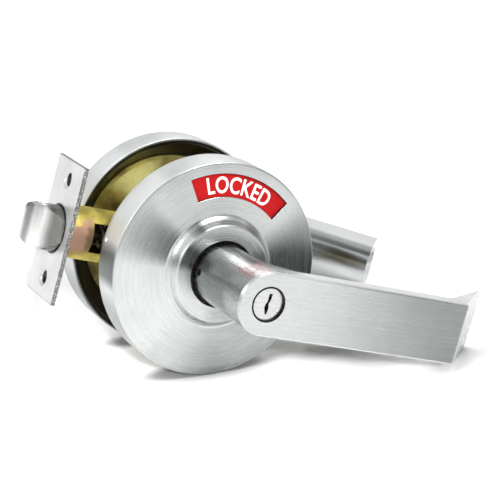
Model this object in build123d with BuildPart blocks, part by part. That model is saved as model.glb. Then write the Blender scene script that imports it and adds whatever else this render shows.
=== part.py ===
from build123d import *
from math import asin, cos, degrees, pi, radians, sin, sqrt
import os

# Indicator lever lock in millimetres. The origin is on the spindle axis, midway between the roses.
# -Y is the outside with the key, +Y the inside with the turn button, -X the door edge, +Z up.
# The levers point along +X. Every twin piece is drawn for the outside and mirrored for the inside.

# Door and backset
door_gap = 29.5
backset = 60.3
half_gap = door_gap / 2

# Roses
rose_radius = 45.25
rose_sheet = 1.2
rose_wall = 14.65
rose_edge = 0.9
cone_foot_radius = 23.4
cone_foot_depth = 31.9
collar_radius = 20.4
collar_depth = 36.0
neck_hole_radius = 14.0
collar_round = 1.1
collar_spread = 1.6
collar_foot_rise = 1.2
foot_round = 1.4
notch_width = 2.6
notch_depth = 1.6
notch_z = 1.3
window_inner_radius = 31.0
window_outer_radius = 40.4
window_half_angle = 34.2
window_turn = 2.2

# Liners behind the roses, with the floor that the hub nut clamps
liner_sheet = 1.0
lip_radius = 43.5
lip_depth = 16.4
floor_radius = 36.3
floor_depth = 25.0
liner_tabs = 4
liner_tab_width = 5.0
liner_tab_depth = 1.4
liner_back_rim = 1.5
guide_rim_radius = 19.15
guide_rim_depth = 28.0

# Chassis drum and hubs
drum_radius = 25.5
drum_sheet = 1.4
drum_half_length = 13.0
hub_plate = 1.5
hub_radius = 13.5
hub_end_depth = 30.0
screw_circle_radius = 22.4
screw_core_radius = 1.65
screw_clearance_radius = 2.1
screw_head_radius = 3.2
screw_head_height = 1.6
screw_slot = (4.6, 0.8, 0.7)
nut_radius = 16.2
nut_depth = 28.4
nut_slots = 4
nut_slot_width = 2.4
nut_slot_reach = 1.5
nut_slot_depth = 1.2
latch_mouth_radius = 11.0
back_window = (18.0, 20.0)
bottom_window = (24.0, 18.0)
drum_window_corner = 2.0

# Spindles, which carry the levers
spindle_radius = 9.5
spindle_bore = 8.0
spindle_tip_depth = 58.0
running_gap = 0.05
cam_reach = 16.5
cam_thickness = 3.0
lever_travel = 50.0
outside_cam_depth = 11.9
outside_cam_length = 1.0
inside_cam_depth = 8.5
inside_cam_length = 3.0
rod_guide_depth = 26.0
driver_depth = 33.2
driver_radius = 16.0
driver_sheet = 1.0
driver_ear_radius = 18.6
driver_ear_angles = (260.0, 272.0)
clip_radius = 12.0
clip_sheet = 0.8
clip_half_opening = 20.0
stop_pin_depth = 22.0
stop_pin_radius = 1.2
stop_slot_gap = 0.15

# Levers
neck_radius = 12.6
neck_start_depth = 31.0
blade_depth = 77.25
blade_half_height = 13.0
blade_edge = 7.8
blade_crown = 4.0
bend_x = 92.2
tip_x = 121.9
tip_depth = 43.7
tip_edge = 1.0
tip_crown = 7.6
section_corner = 0.8
tip_round = 6.0
bend_round = 5.0
flare_radius = 17.5
flare_shares = (0.15, 0.4, 0.62, 0.82, 0.95)
core_floor_depth = 58.0

# Lever catches
catch_depth = 39.6
catch_radius = 1.5
catch_face = 12.0
catch_seat = 7.4
catch_hole_radius = 1.6
catch_flange = (4.6, 4.4, 1.0)
catch_flange_corner = 0.6
leaf_sheet = 0.4
leaf_half_width = 1.6
leaf_root_depth = 30.0
leaf_root_length = 1.2
leaf_half_length = 2.8

# Key cylinder in the outside lever
cylinder_radius = 7.05
cylinder_face_depth = 74.3
plug_radius = 6.0
plug_face_radius = 6.5
plug_face_depth = 76.4
bible_half_width = 2.3
bible_reach = 9.4
bible_length = 14.0
keyway_width = 1.5
keyway_height = 8.4
keyway_depth = 12.0
plug_root_depth = 58.6
plug_shoulder_depth = 74.6
tailpiece_gap = 0.7
tailpiece_width = 5.0
tailpiece_sheet = 1.2

# Lock rod, crank and indicator
rod_radius = 2.2
rod_outside_end = 38.5
rod_inside_end = 73.0
button_root_depth = 64.0
button_face_depth = 78.2
button_grip = 5.0
button_grip_length = 12.4
button_grip_width = 3.4
button_round = 0.8
button_gap = 0.08
rod_chamfer = 0.5
crank_reach = 20.6
crank_pin_radius = 1.0
crank_half_thickness = 1.2
crank_boss_radius = 3.4
crank_arm_half_width = 2.4
crank_end_half_width = 1.7
crank_slot_half_width = 1.4
crank_slot_angles = (82.0, 188.0)
crank_pin_extra = 0.3
disc_sheet = 1.0
disc_outer_radius = 42.2
disc_cone_radius = 29.0
disc_gap = 0.35
disc_step = 2.0

# Latch
faceplate_width = 28.6
faceplate_height = 57.2
faceplate_thickness = 1.9
screw_spacing = 41.3
screw_hole_radius = 2.5
countersink_radius = 3.75
bolt_radius = 9.5
bolt_gap = 0.25
bolt_flat = 6.5
bolt_throw = 12.7
barrel_back_x = -49.0
case_radius = 11.0
case_sheet = 0.9
case_end_x = -23.4
seat_x = -30.0
tail_radius = 1.9
head_x = -20.1
case_collar = 3.4
case_collar_sheet = 0.6
seat_sheet = 1.2
tail_gap = 0.3
tail_head = (11.0, 7.2, 2.0)
tail_head_corner = 1.2
case_window_start_x = -48.0
case_window_end_x = -31.0
case_window_height = 12.2
case_window_z = 0.4
bevel_root = (-59.5, -9.0)
bevel_middle = (-66.3, -5.3)
bevel_tip_y = 4.6
bolt_corner = 5.0
bolt_tip_round = 0.7

# Retractor, which slides under the top of the drum
pad_start_x = 1.0
pad_thickness = 3.5
pad_bottom_z = 9.9
pad_top_z = 15.5
pad_outer_depth = 11.5
pad_corner = 0.8
cheek_outer_depth = 8.0
cheek_sheet = 2.0
web_half_width = 7.5
web_bottom_z = 4.0
web_top_z = 9.6
web_bevel = 2.0
keel_half_width = 2.4
keel_start_x = -16.0
keel_end_x = 2.0
keel_top_z = 13.0
fork_gap = 0.1
fork_thickness = 2.0
fork_half_width = 6.0
fork_drop = 5.0
fork_slot_half_width = 2.2
fork_slot_top_z = 2.6
rail_half_width = 2.7
rail_half_length = 14.0
rail_sheet = 1.5
rail_foot_z = 10.0
rail_web_sheet = 1.5
keel_gap = 0.3

# Springs
return_wire = 1.5
return_radius = 17.6
return_turns = 1.5
lug_length = 2.0
wire_sides = 6
spring_wire = 0.8
spring_outer_radius = 2.1
spring_pocket_radius = 2.3
spring_pocket_x = -16.0
spring_offset_y = 4.6
spring_z = 6.8
retractor_spring_seat_x = 20.0
spring_plate_height = 7.6
spring_plate_sheet = 1.2
latch_wire = 1.0
latch_spring_radius = 5.2
latch_spring_turns = 3.5

faceplate_back_x = -backset + faceplate_thickness
bolt_tip_x = -backset - bolt_throw
rose_inner_radius = rose_radius - rose_sheet
face_depth = half_gap + rose_wall

os.makedirs("parts", exist_ok=True)


def cone_depth(radius):
    """Depth of the rose's outer cone at a radius, from its edge to the foot of the collar."""
    edge_radius = rose_radius - rose_edge
    share = (edge_radius - radius) / (edge_radius - cone_foot_radius)
    return face_depth + share * (cone_foot_depth - face_depth)


def polar(radius, angle):
    """Point of the XZ plane at a radius, with its angle clockwise from +Z as seen from outside."""
    return (radius * sin(radians(angle)), radius * cos(radians(angle)))


def outward(depth):
    """Sketch plane at a depth outside the door's middle, with X to the right and Z up."""
    return Plane.XZ.offset(depth)


def sector(inner, outer, start, end):
    """Ring sector between two radii and two angles clockwise from +Z, in the open sketch."""
    middle = (start + end) / 2
    with BuildLine() as outline:
        ThreePointArc(polar(outer, start), polar(outer, middle), polar(outer, end))
        Line(polar(outer, end), polar(inner, end))
        ThreePointArc(polar(inner, end), polar(inner, middle), polar(inner, start))
        Line(polar(inner, start), polar(outer, start))
    make_face(outline.edges())


def ring(inner, outer, start_depth, end_depth):
    """Plain turned ring about the spindle axis between two depths, in the open part."""
    with BuildSketch(Plane.XY) as profile:
        with Locations(((inner + outer) / 2, -(start_depth + end_depth) / 2)):
            Rectangle(outer - inner, end_depth - start_depth)
    revolve(profile.sketch, axis=Axis.Y)


def crank_slot():
    """Arc-shaped slot that the crank's pin sweeps, in the open sketch."""
    sector(crank_reach - crank_slot_half_width, crank_reach + crank_slot_half_width, *crank_slot_angles)


def biarc(start, start_heading, end, end_heading):
    """Two tangent arcs from one point and heading to another, in the open line."""
    span = end - start
    headings = start_heading + end_heading
    spread = 2 * (1 - start_heading.dot(end_heading))
    along = span.dot(headings)
    reach = (sqrt(along**2 + spread * span.dot(span)) - along) / spread
    first_corner = start + start_heading * reach
    last_corner = end - end_heading * reach
    middle = (first_corner + last_corner) / 2
    TangentArc(start, middle, tangent=start_heading)
    TangentArc(middle, end, tangent=last_corner - first_corner)


def wind(plane, radius, pitch, turns, wire):
    """Six-sided wire wound up a plane's normal, a biarc to each half turn, in the open part."""

    def point(half_turns):
        side = radius * (-1) ** half_turns
        return plane.from_local_coords((side, 0, pitch * half_turns / 2))

    def heading(half_turns):
        forward = 2 * pi * radius * (-1) ** half_turns
        return (plane.from_local_coords((0, forward, pitch)) - plane.origin).normalized()

    with BuildLine() as path:
        for step in range(round(2 * turns)):
            biarc(point(step), heading(step), point(step + 1), heading(step + 1))
    with BuildSketch(Plane(origin=point(0), z_dir=heading(0))) as wire_end:
        RegularPolygon(wire / 2, wire_sides)
    sweep(wire_end.sketch, path=path.wires()[0])
    print_least_gap(path.wires()[0], turns, wire)


def print_least_gap(path, turns, wire):
    """Measure the wire's least gap to itself on points of its path, and print it."""
    steps_in_turn = 24
    count = round(turns * steps_in_turn)
    points = [path @ (step / count) for step in range(count + 1)]
    apart = steps_in_turn // 2
    gaps = [
        (points[second] - points[first]).length - wire
        for first in range(count + 1)
        for second in range(first + apart, count + 1)
    ]
    print(f"least gap of the coil to itself: {min(gaps):.2f} mm")


def to_side(side):
    """Mirror the open part to the inside of the door where it is the inside one of a pair."""
    if side == "inside":
        mirror(about=Plane.XZ, mode=Mode.REPLACE)


def write(piece, name):
    """Label a finished piece and write it."""
    piece.part.label = name
    export_step(piece.part, f"parts/{name}.step")


# Roses: spun cups with a shallow cone, a stepped collar round the lever's neck and a rolled edge
def make_rose(side):
    with BuildPart() as rose:
        with BuildSketch(Plane.XY):
            with BuildLine():
                Polyline(
                    (neck_hole_radius, -collar_depth),
                    (collar_radius, -collar_depth),
                    (collar_radius + collar_spread, -cone_foot_depth - collar_foot_rise),
                    (cone_foot_radius, -cone_foot_depth),
                    (rose_radius - rose_edge, -face_depth),
                    (rose_radius, -face_depth + rose_edge),
                    (rose_radius, -half_gap),
                    (rose_inner_radius, -half_gap),
                    (rose_inner_radius, -face_depth + rose_edge + rose_sheet),
                    (rose_radius - rose_edge - rose_sheet, -face_depth + rose_sheet),
                    (cone_foot_radius - rose_sheet, -cone_foot_depth + rose_sheet),
                    (collar_radius - rose_sheet, -collar_depth + rose_sheet),
                    (neck_hole_radius, -collar_depth + rose_sheet),
                    close=True,
                )
            make_face()
            fillet(vertices().sort_by_distance((collar_radius, -collar_depth))[0], radius=collar_round)
            fillet(vertices().sort_by_distance((cone_foot_radius, -cone_foot_depth))[0], radius=foot_round)
        revolve(axis=Axis.Y)
        with BuildSketch(Plane.YZ.offset(-rose_radius)):
            with Locations((-half_gap, notch_z)):
                SlotOverall(2 * notch_depth, notch_width)
        extrude(amount=3 * rose_sheet, mode=Mode.SUBTRACT)
        if side == "outside":
            with BuildSketch(outward(cone_foot_depth + 1)):
                sector(
                    window_inner_radius,
                    window_outer_radius,
                    window_turn - window_half_angle,
                    window_turn + window_half_angle,
                )
            extrude(amount=-8, mode=Mode.SUBTRACT)
        to_side(side)
    write(rose, f"{side}_rose")


# Liners: yellow pressed dishes that hold the roses and the lever's return spring
def make_liner(side):
    floor_back = floor_depth + liner_sheet
    with BuildPart() as liner:
        with BuildSketch(Plane.XY):
            with BuildLine():
                Polyline(
                    (hub_radius + 0.1, -floor_depth),
                    (floor_radius, -floor_depth),
                    (lip_radius - liner_sheet, -lip_depth),
                    (lip_radius, -lip_depth),
                    (lip_radius, -lip_depth - liner_back_rim),
                    (floor_radius + 0.4, -floor_back),
                    (hub_radius + 0.1, -floor_back),
                    close=True,
                )
            make_face()
        revolve(axis=Axis.Y)
        with BuildSketch(outward(lip_depth)):
            with PolarLocations((lip_radius + rose_inner_radius) / 2 - 0.1, liner_tabs, start_angle=45):
                Rectangle(rose_inner_radius - lip_radius + 0.6, liner_tab_width)
            Circle(rose_inner_radius, mode=Mode.INTERSECT)
        extrude(amount=liner_tab_depth)
        with BuildSketch(outward(floor_depth - 1)):
            if side == "outside":
                crank_slot()
            else:
                with Locations((0, screw_circle_radius), (0, -screw_circle_radius)):
                    Circle(screw_clearance_radius)
        extrude(amount=liner_sheet + 2, mode=Mode.SUBTRACT)
        if side == "outside":
            ring(guide_rim_radius - 0.7, guide_rim_radius, floor_depth, guide_rim_depth)
        with BuildSketch(outward(floor_back)):
            with Locations((return_radius, -lug_length / 2)):
                Rectangle(return_wire, lug_length)
        extrude(amount=return_wire)
        to_side(side)
    write(liner, f"{side}_liner")


# Hubs: end plates of the chassis, each with a threaded tube that the spindle turns in
def make_hub(side):
    plate_end = drum_half_length + hub_plate
    with BuildPart() as hub:
        ring(spindle_radius + running_gap, drum_radius, drum_half_length, plate_end)
        ring(spindle_radius + running_gap, hub_radius, drum_half_length, hub_end_depth)
        with BuildSketch(outward(drum_half_length)):
            if side == "outside":
                crank_slot()
            else:
                with Locations((0, screw_circle_radius), (0, -screw_circle_radius)):
                    Circle(screw_core_radius)
        extrude(amount=hub_plate, mode=Mode.SUBTRACT)
        with BuildSketch(Plane.XY.offset(-hub_radius - 1)):
            with Locations((0, -stop_pin_depth)):
                Circle(stop_pin_radius)
        extrude(amount=6, mode=Mode.SUBTRACT)
        to_side(side)
    write(hub, f"{side}_hub")


# Hub nuts: slotted ring nuts that clamp the liners on the hubs
def make_hub_nut(side):
    with BuildPart() as nut:
        ring(hub_radius, nut_radius, floor_depth + liner_sheet, nut_depth)
        with BuildSketch(outward(nut_depth)):
            with PolarLocations(nut_radius, nut_slots):
                Rectangle(2 * nut_slot_reach, nut_slot_width)
        extrude(amount=-nut_slot_depth, mode=Mode.SUBTRACT)
        to_side(side)
    write(nut, f"{side}_hub_nut")


# Return springs: wound torsion springs round the hub nuts, between the liner and the lever's driver
def make_return_spring(side):
    start_depth = floor_depth + liner_sheet + return_wire / 2
    rise = driver_depth - return_wire / 2 - start_depth
    with BuildPart() as spring:
        wind(outward(start_depth), return_radius, rise / return_turns, return_turns, return_wire)
        to_side(side)
    write(spring, f"{side}_return_spring")


# Mounting screws: hold the inside liner to the chassis
def make_mounting_screws():
    head_depth = floor_depth + liner_sheet
    slot_length, slot_width, slot_depth = screw_slot
    with BuildPart() as screws:
        for up in (1, -1):
            axis_point = (0, up * screw_circle_radius)
            with BuildSketch(Plane.XZ.offset(-drum_half_length)):
                with Locations(axis_point):
                    Circle(screw_core_radius)
            extrude(amount=-(head_depth - drum_half_length))
            with BuildSketch(Plane.XZ.offset(-head_depth)):
                with Locations(axis_point):
                    Circle(screw_head_radius)
            extrude(amount=-screw_head_height)
            with BuildSketch(Plane.XZ.offset(-head_depth - screw_head_height)):
                with Locations(axis_point):
                    Rectangle(slot_length, slot_width)
            extrude(amount=slot_depth, mode=Mode.SUBTRACT)
    write(screws, "mounting_screws")


# Stop pins: pressed into the hubs, they run in the spindles' slots and end the levers' travel
def make_stop_pins():
    with BuildPart() as pins:
        for depth in (-stop_pin_depth, stop_pin_depth):
            with BuildSketch(Plane.XY.offset(-hub_radius)):
                with Locations((0, depth)):
                    Circle(stop_pin_radius)
            extrude(amount=hub_radius - spindle_bore - 0.6)
    write(pins, "stop_pins")


# Chassis drum: the case between the hubs, open to the latch and at the back and below
def make_chassis_drum():
    with BuildPart() as drum:
        ring(drum_radius - drum_sheet, drum_radius, -drum_half_length, drum_half_length)
        with BuildSketch(Plane.YZ.offset(-drum_radius - 1)):
            Circle(latch_mouth_radius)
        extrude(amount=drum_radius / 2, mode=Mode.SUBTRACT)
        with BuildSketch(Plane.YZ.offset(drum_radius + 1)):
            RectangleRounded(*back_window, drum_window_corner)
        extrude(amount=-drum_radius / 2, mode=Mode.SUBTRACT)
        with BuildSketch(Plane.XY.offset(-drum_radius - 1)):
            RectangleRounded(*bottom_window, drum_window_corner)
        extrude(amount=drum_radius / 2, mode=Mode.SUBTRACT)
    write(drum, "chassis_drum")


# Retractor guide: two rails under the top of the drum, joined by a web, that the keel runs between
def make_retractor_guide():
    inner_radius = drum_radius - drum_sheet
    web_under_z = keel_top_z + keel_gap
    web_over_z = web_under_z + rail_web_sheet
    with BuildPart() as guide:
        with BuildSketch(Plane.XZ.offset(-rail_half_width - rail_sheet)):
            with Locations((0, (rail_foot_z + inner_radius) / 2)):
                Rectangle(2 * rail_half_length, inner_radius - rail_foot_z)
            Circle(inner_radius, mode=Mode.INTERSECT)
        extrude(amount=2 * (rail_half_width + rail_sheet))
        with BuildSketch(Plane.YZ.offset(-rail_half_length - 1)):
            with Locations((0, (rail_foot_z + web_under_z) / 2)):
                Rectangle(2 * rail_half_width, web_under_z - rail_foot_z)
            with Locations((0, (web_over_z + inner_radius + 1) / 2)):
                Rectangle(2 * rail_half_width, inner_radius + 1 - web_over_z)
        extrude(amount=2 * rail_half_length + 2, mode=Mode.SUBTRACT)
    write(guide, "retractor_guide")


# Retractor: the slide that the cams push back, with a keel, two pads and the fork that pulls the latch
def make_retractor():
    web_start_x = head_x - fork_gap - fork_thickness
    web_end_x = pad_start_x + pad_thickness
    with BuildPart() as retractor:
        with BuildSketch(Plane.XZ.offset(-web_half_width)):
            with BuildLine():
                Polyline(
                    (web_start_x, web_bottom_z),
                    (web_end_x, web_bottom_z),
                    (web_end_x, web_top_z),
                    (web_start_x + web_bevel, web_top_z),
                    (web_start_x, web_top_z - web_bevel),
                    close=True,
                )
            make_face()
        extrude(amount=2 * web_half_width)
        with BuildSketch(Plane.XZ.offset(-keel_half_width)):
            with Locations(((keel_start_x + keel_end_x) / 2, (web_top_z + keel_top_z) / 2)):
                Rectangle(keel_end_x - keel_start_x, keel_top_z - web_top_z)
        extrude(amount=2 * keel_half_width)
        for sign in (-1, 1):
            with BuildSketch(Plane.XZ.offset(sign * pad_outer_depth)):
                with Locations((pad_start_x + pad_thickness / 2, (pad_bottom_z + pad_top_z) / 2)):
                    RectangleRounded(pad_thickness, pad_top_z - pad_bottom_z, pad_corner)
            extrude(amount=-sign * (pad_outer_depth - cheek_outer_depth + cheek_sheet))
            with BuildSketch(Plane.XZ.offset(sign * cheek_outer_depth)):
                with Locations((pad_start_x + pad_thickness / 2, (web_bottom_z + pad_top_z) / 2)):
                    RectangleRounded(pad_thickness, pad_top_z - web_bottom_z, pad_corner)
            extrude(amount=-sign * cheek_sheet)
        with BuildSketch(Plane.YZ.offset(web_start_x)):
            with BuildLine():
                Polyline(
                    (-fork_half_width, web_top_z - web_bevel),
                    (-fork_half_width, -fork_drop),
                    (-fork_slot_half_width, -fork_drop),
                    (-fork_slot_half_width, fork_slot_top_z),
                    (fork_slot_half_width, fork_slot_top_z),
                    (fork_slot_half_width, -fork_drop),
                    (fork_half_width, -fork_drop),
                    (fork_half_width, web_top_z - web_bevel),
                    close=True,
                )
            make_face()
        extrude(amount=fork_thickness)
        with BuildSketch(Plane.YZ.offset(web_end_x)):
            with Locations((-spring_offset_y, spring_z), (spring_offset_y, spring_z)):
                Circle(spring_pocket_radius)
        extrude(amount=-(web_end_x - spring_pocket_x), mode=Mode.SUBTRACT)
    write(retractor, "retractor")


# Retractor springs: a pair of compression springs in the slide's pockets
def make_retractor_springs():
    with BuildPart() as springs:
        with BuildSketch(Plane.YZ.offset(spring_pocket_x)):
            with Locations((-spring_offset_y, spring_z), (spring_offset_y, spring_z)):
                Circle(spring_outer_radius)
                Circle(spring_outer_radius - spring_wire, mode=Mode.SUBTRACT)
        extrude(amount=retractor_spring_seat_x - spring_pocket_x)
    write(springs, "retractor_springs")


# Spring plate: spans the drum behind the retractor and takes the springs' push
def make_spring_plate():
    with BuildPart() as plate:
        with BuildSketch(Plane.YZ.offset(retractor_spring_seat_x)):
            with Locations((0, spring_z)):
                Rectangle(2 * drum_half_length, spring_plate_height)
        extrude(amount=spring_plate_sheet)
    write(plate, "spring_plate")


# Latch faceplate: square plate in the door's edge, with the bolt's opening
def make_faceplate():
    opening_radius = bolt_radius + bolt_gap
    flat_y = bolt_flat + bolt_gap
    with BuildPart() as faceplate:
        with BuildSketch(Plane.YZ.offset(-backset)):
            Rectangle(faceplate_width, faceplate_height)
            with GridLocations(0, screw_spacing, 1, 2):
                Circle(screw_hole_radius, mode=Mode.SUBTRACT)
        extrude(amount=faceplate_thickness)
        with BuildSketch(Plane.YZ.offset(-backset)):
            Circle(opening_radius)
            with Locations((flat_y + opening_radius / 2, 0)):
                Rectangle(opening_radius, 2 * opening_radius, mode=Mode.SUBTRACT)
        extrude(amount=faceplate_thickness, mode=Mode.SUBTRACT)
        for up in (1, -1):
            with BuildSketch(Plane.YZ.offset(-backset)):
                with Locations((0, up * screw_spacing / 2)):
                    Circle(countersink_radius)
            with BuildSketch(Plane.YZ.offset(-backset + countersink_radius - screw_hole_radius)):
                with Locations((0, up * screw_spacing / 2)):
                    Circle(screw_hole_radius)
            loft(mode=Mode.SUBTRACT)
    write(faceplate, "latch_faceplate")


# Latch case: the yellow tube in the edge bore, windowed on both sides
def make_latch_case():
    with BuildPart() as case:
        with BuildSketch(Plane.YZ.offset(faceplate_back_x)):
            Circle(case_radius)
            Circle(case_radius - case_sheet, mode=Mode.SUBTRACT)
        extrude(amount=case_end_x - faceplate_back_x)
        with BuildSketch(Plane.YZ.offset(faceplate_back_x)):
            Circle(case_radius + case_collar_sheet)
            Circle(case_radius, mode=Mode.SUBTRACT)
        extrude(amount=case_collar)
        with BuildSketch(Plane.XZ.offset(case_radius + 1)):
            with Locations(((case_window_start_x + case_window_end_x) / 2, case_window_z)):
                Rectangle(case_window_end_x - case_window_start_x, case_window_height)
        extrude(amount=-2 * case_radius - 2, mode=Mode.SUBTRACT)
    write(case, "latch_case")


# Latch spring and the seat that it pushes from
def make_latch_spring_seat():
    with BuildPart() as seat:
        with BuildSketch(Plane.YZ.offset(seat_x)):
            Circle(case_radius - case_sheet)
            Circle(tail_radius + tail_gap, mode=Mode.SUBTRACT)
        extrude(amount=seat_sheet)
    write(seat, "latch_spring_seat")


def make_latch_spring():
    start_plane = Plane.YZ.offset(barrel_back_x + latch_wire / 2)
    rise = seat_x - barrel_back_x - latch_wire
    with BuildPart() as spring:
        wind(start_plane, latch_spring_radius, rise / latch_spring_turns, latch_spring_turns, latch_wire)
    write(spring, "latch_spring")


# Latch bolt: round barrel with a flat at the back and a bowed bevel that the strike plate pushes
def make_latch_bolt():
    with BuildPart() as bolt:
        with BuildSketch(Plane.YZ.offset(bolt_tip_x)):
            Circle(bolt_radius)
            with Locations((bolt_flat + bolt_radius / 2, 0)):
                Rectangle(bolt_radius, 2 * bolt_radius, mode=Mode.SUBTRACT)
        extrude(amount=barrel_back_x - bolt_tip_x)
        with BuildSketch(Plane.XY.offset(-bolt_radius - 1)):
            with BuildLine():
                ThreePointArc(bevel_root, bevel_middle, (bolt_tip_x, bevel_tip_y))
                Polyline(
                    (bolt_tip_x, bevel_tip_y),
                    (bolt_tip_x - 1, bevel_tip_y),
                    (bolt_tip_x - 1, -bolt_radius - 1),
                    (bevel_root[0], -bolt_radius - 1),
                    bevel_root,
                )
            make_face()
        extrude(amount=2 * bolt_radius + 2, mode=Mode.SUBTRACT)
        with BuildSketch(outward(bolt_radius)):
            with Locations((barrel_back_x, 0)):
                RectangleRounded(2 * (barrel_back_x - bolt_tip_x), 2 * bolt_radius, bolt_corner)
        extrude(amount=-2 * bolt_radius, mode=Mode.INTERSECT)
        tip_edges = bolt.edges().filter_by(Axis.Z).sort_by(Axis.X)[:2]
        fillet(tip_edges, radius=bolt_tip_round)
    write(bolt, "latch_bolt")


# Latch tail: stem and head behind the bolt, which the retractor's fork pulls
def make_latch_tail():
    head_width, head_height, head_length = tail_head
    with BuildPart() as tail:
        with BuildSketch(Plane.YZ.offset(barrel_back_x)):
            Circle(tail_radius)
        extrude(amount=head_x - barrel_back_x)
        with BuildSketch(Plane.YZ.offset(head_x)):
            RectangleRounded(head_width, head_height, tail_head_corner)
        extrude(amount=head_length)
    write(tail, "latch_tail")


# Spindles: tubes that the levers are fixed on, each with a cam across its inner end
def make_spindle(side, cam_depth, cam_length):
    with BuildPart() as spindle:
        ring(spindle_bore, spindle_radius, cam_depth, spindle_tip_depth)
        with BuildSketch(outward(cam_depth)):
            with Locations((-cam_thickness / 2 - 0.2, 0)):
                RectangleRounded(cam_thickness, 2 * cam_reach, 1.2)
            Circle(spindle_bore, mode=Mode.SUBTRACT)
        extrude(amount=cam_length)
        with BuildSketch(outward(stop_pin_depth - stop_pin_radius - stop_slot_gap)):
            pin_angle = degrees(asin(stop_pin_radius / spindle_bore))
            sector(
                spindle_bore - 0.5,
                spindle_radius + 0.5,
                180 - lever_travel - pin_angle - 1,
                180 + pin_angle + 1,
            )
        extrude(amount=2 * (stop_pin_radius + stop_slot_gap), mode=Mode.SUBTRACT)
        with BuildSketch(Plane.YZ.offset(-spindle_radius - 1)):
            with Locations((-catch_depth, 0)):
                Circle(catch_hole_radius)
        extrude(amount=4, mode=Mode.SUBTRACT)
        to_side(side)
    write(spindle, f"{side}_spindle")


# Spindle clips: snap rings that keep the spindles in the hubs
def make_spindle_clip(side):
    with BuildPart() as clip:
        with BuildSketch(outward(hub_end_depth + 0.1)):
            sector(spindle_radius, clip_radius, clip_half_opening, 360 - clip_half_opening)
        extrude(amount=clip_sheet)
        to_side(side)
    write(clip, f"{side}_spindle_clip")


# Rod guides: nylon discs in the spindles that keep the lock rod central
def make_rod_guide(side):
    with BuildPart() as guide:
        ring(rod_radius + running_gap, spindle_bore, rod_guide_depth, rod_guide_depth + 3.0)
        to_side(side)
    write(guide, f"{side}_rod_guide")


# Spring drivers: keyed rings on the levers' necks whose ears wind the return springs
def make_spring_driver(side):
    with BuildPart() as driver:
        ring(neck_radius, driver_radius, driver_depth, driver_depth + driver_sheet)
        with BuildSketch(outward(driver_depth)):
            sector(driver_radius - 0.4, driver_ear_radius, *driver_ear_angles)
        extrude(amount=driver_sheet)
        with BuildSketch(outward(driver_depth)):
            with Locations((-return_radius, -lug_length / 2)):
                Rectangle(return_wire, lug_length)
        extrude(amount=-return_wire)
        to_side(side)
    write(driver, f"{side}_spring_driver")


def blade_section(edge, crown):
    """Flat-fronted, crowned-back section of the blade, open towards +X of the sketch's plane."""
    corner = section_corner
    with BuildLine() as outline:
        Polyline(
            (edge, -blade_half_height),
            (corner, -blade_half_height),
            (0, -blade_half_height + corner),
            (0, blade_half_height - corner),
            (corner, blade_half_height),
            (edge, blade_half_height),
        )
        ThreePointArc((edge, blade_half_height), (edge + crown, 0), (edge, -blade_half_height))
    make_face(outline.edges())


# Levers: cast neck, flat-fronted blade with a crowned back, and a return bent towards the door
def make_lever(side):
    bend = Vector(bend_x, -blade_depth, 0)
    tip = Vector(tip_x, -tip_depth, 0)
    along = (tip - bend).normalized()
    inward = Vector(-along.Y, along.X, 0)
    miter = (inward + Vector(0, 1, 0)).normalized()
    stretch = 1 / miter.Y
    root_plane = Plane(origin=(0, -blade_depth, 0), x_dir=(0, 1, 0), z_dir=(1, 0, 0))
    bend_plane = Plane(origin=bend, x_dir=miter, z_dir=miter.cross(Vector(0, 0, 1)))
    with BuildPart() as lever:
        with BuildSketch(root_plane):
            blade_section(blade_edge, blade_crown)
        with BuildSketch(bend_plane):
            blade_section(blade_edge * stretch, blade_crown * stretch)
        loft(ruled=True)
        with BuildSketch(bend_plane):
            blade_section(blade_edge * stretch, blade_crown * stretch)
        with BuildSketch(Plane(origin=tip, x_dir=inward, z_dir=along)):
            blade_section(tip_edge, tip_crown)
        loft(ruled=True)
        fillet(lever.edges().sort_by_distance(bend)[0], radius=bend_round)
        with BuildSketch(Plane(origin=tip, x_dir=along, z_dir=-inward)):
            with Locations((-tip_round / 2, -blade_half_height + tip_round / 2)):
                Rectangle(tip_round, tip_round)
            with Locations((-tip_round, -blade_half_height + tip_round)):
                Circle(tip_round, mode=Mode.SUBTRACT)
        extrude(amount=2 * tip_crown, both=True, mode=Mode.SUBTRACT)
        with BuildSketch(root_plane):
            blade_section(blade_edge, blade_crown)
            with Locations((0, blade_half_height)):
                Rectangle(4 * blade_edge, 2 * blade_half_height, mode=Mode.INTERSECT)
        revolve(axis=Axis.Y)
        with BuildSketch(outward(neck_start_depth)):
            Circle(neck_radius)
        extrude(amount=blade_depth - blade_edge / 2 - neck_start_depth)
        flare_end = blade_depth - blade_edge - blade_crown + 1.5
        for share in flare_shares:
            rise = share * flare_radius
            reach = flare_radius - sqrt(flare_radius**2 - rise**2)
            with BuildSketch(outward(flare_end - flare_radius + rise)):
                SlotCenterPoint((reach / 2, 0), (reach, 0), 2 * neck_radius)
        loft()
        with BuildSketch(outward(neck_start_depth)):
            Circle(spindle_radius + running_gap)
        extrude(amount=core_floor_depth - neck_start_depth, mode=Mode.SUBTRACT)
        with BuildSketch(outward(core_floor_depth)):
            Circle(cylinder_radius)
        extrude(amount=blade_depth - core_floor_depth + 1, mode=Mode.SUBTRACT)
        if side == "outside":
            with BuildSketch(outward(core_floor_depth)):
                with Locations((0, -bible_reach / 2)):
                    Rectangle(2 * bible_half_width, bible_reach)
            extrude(amount=bible_length, mode=Mode.SUBTRACT)
        with BuildSketch(Plane.YZ.offset(-neck_radius - 1)):
            with Locations((-catch_depth, 0)):
                Circle(catch_hole_radius)
        extrude(amount=neck_radius, mode=Mode.SUBTRACT)
        to_side(side)
    write(lever, f"{side}_lever")


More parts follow.
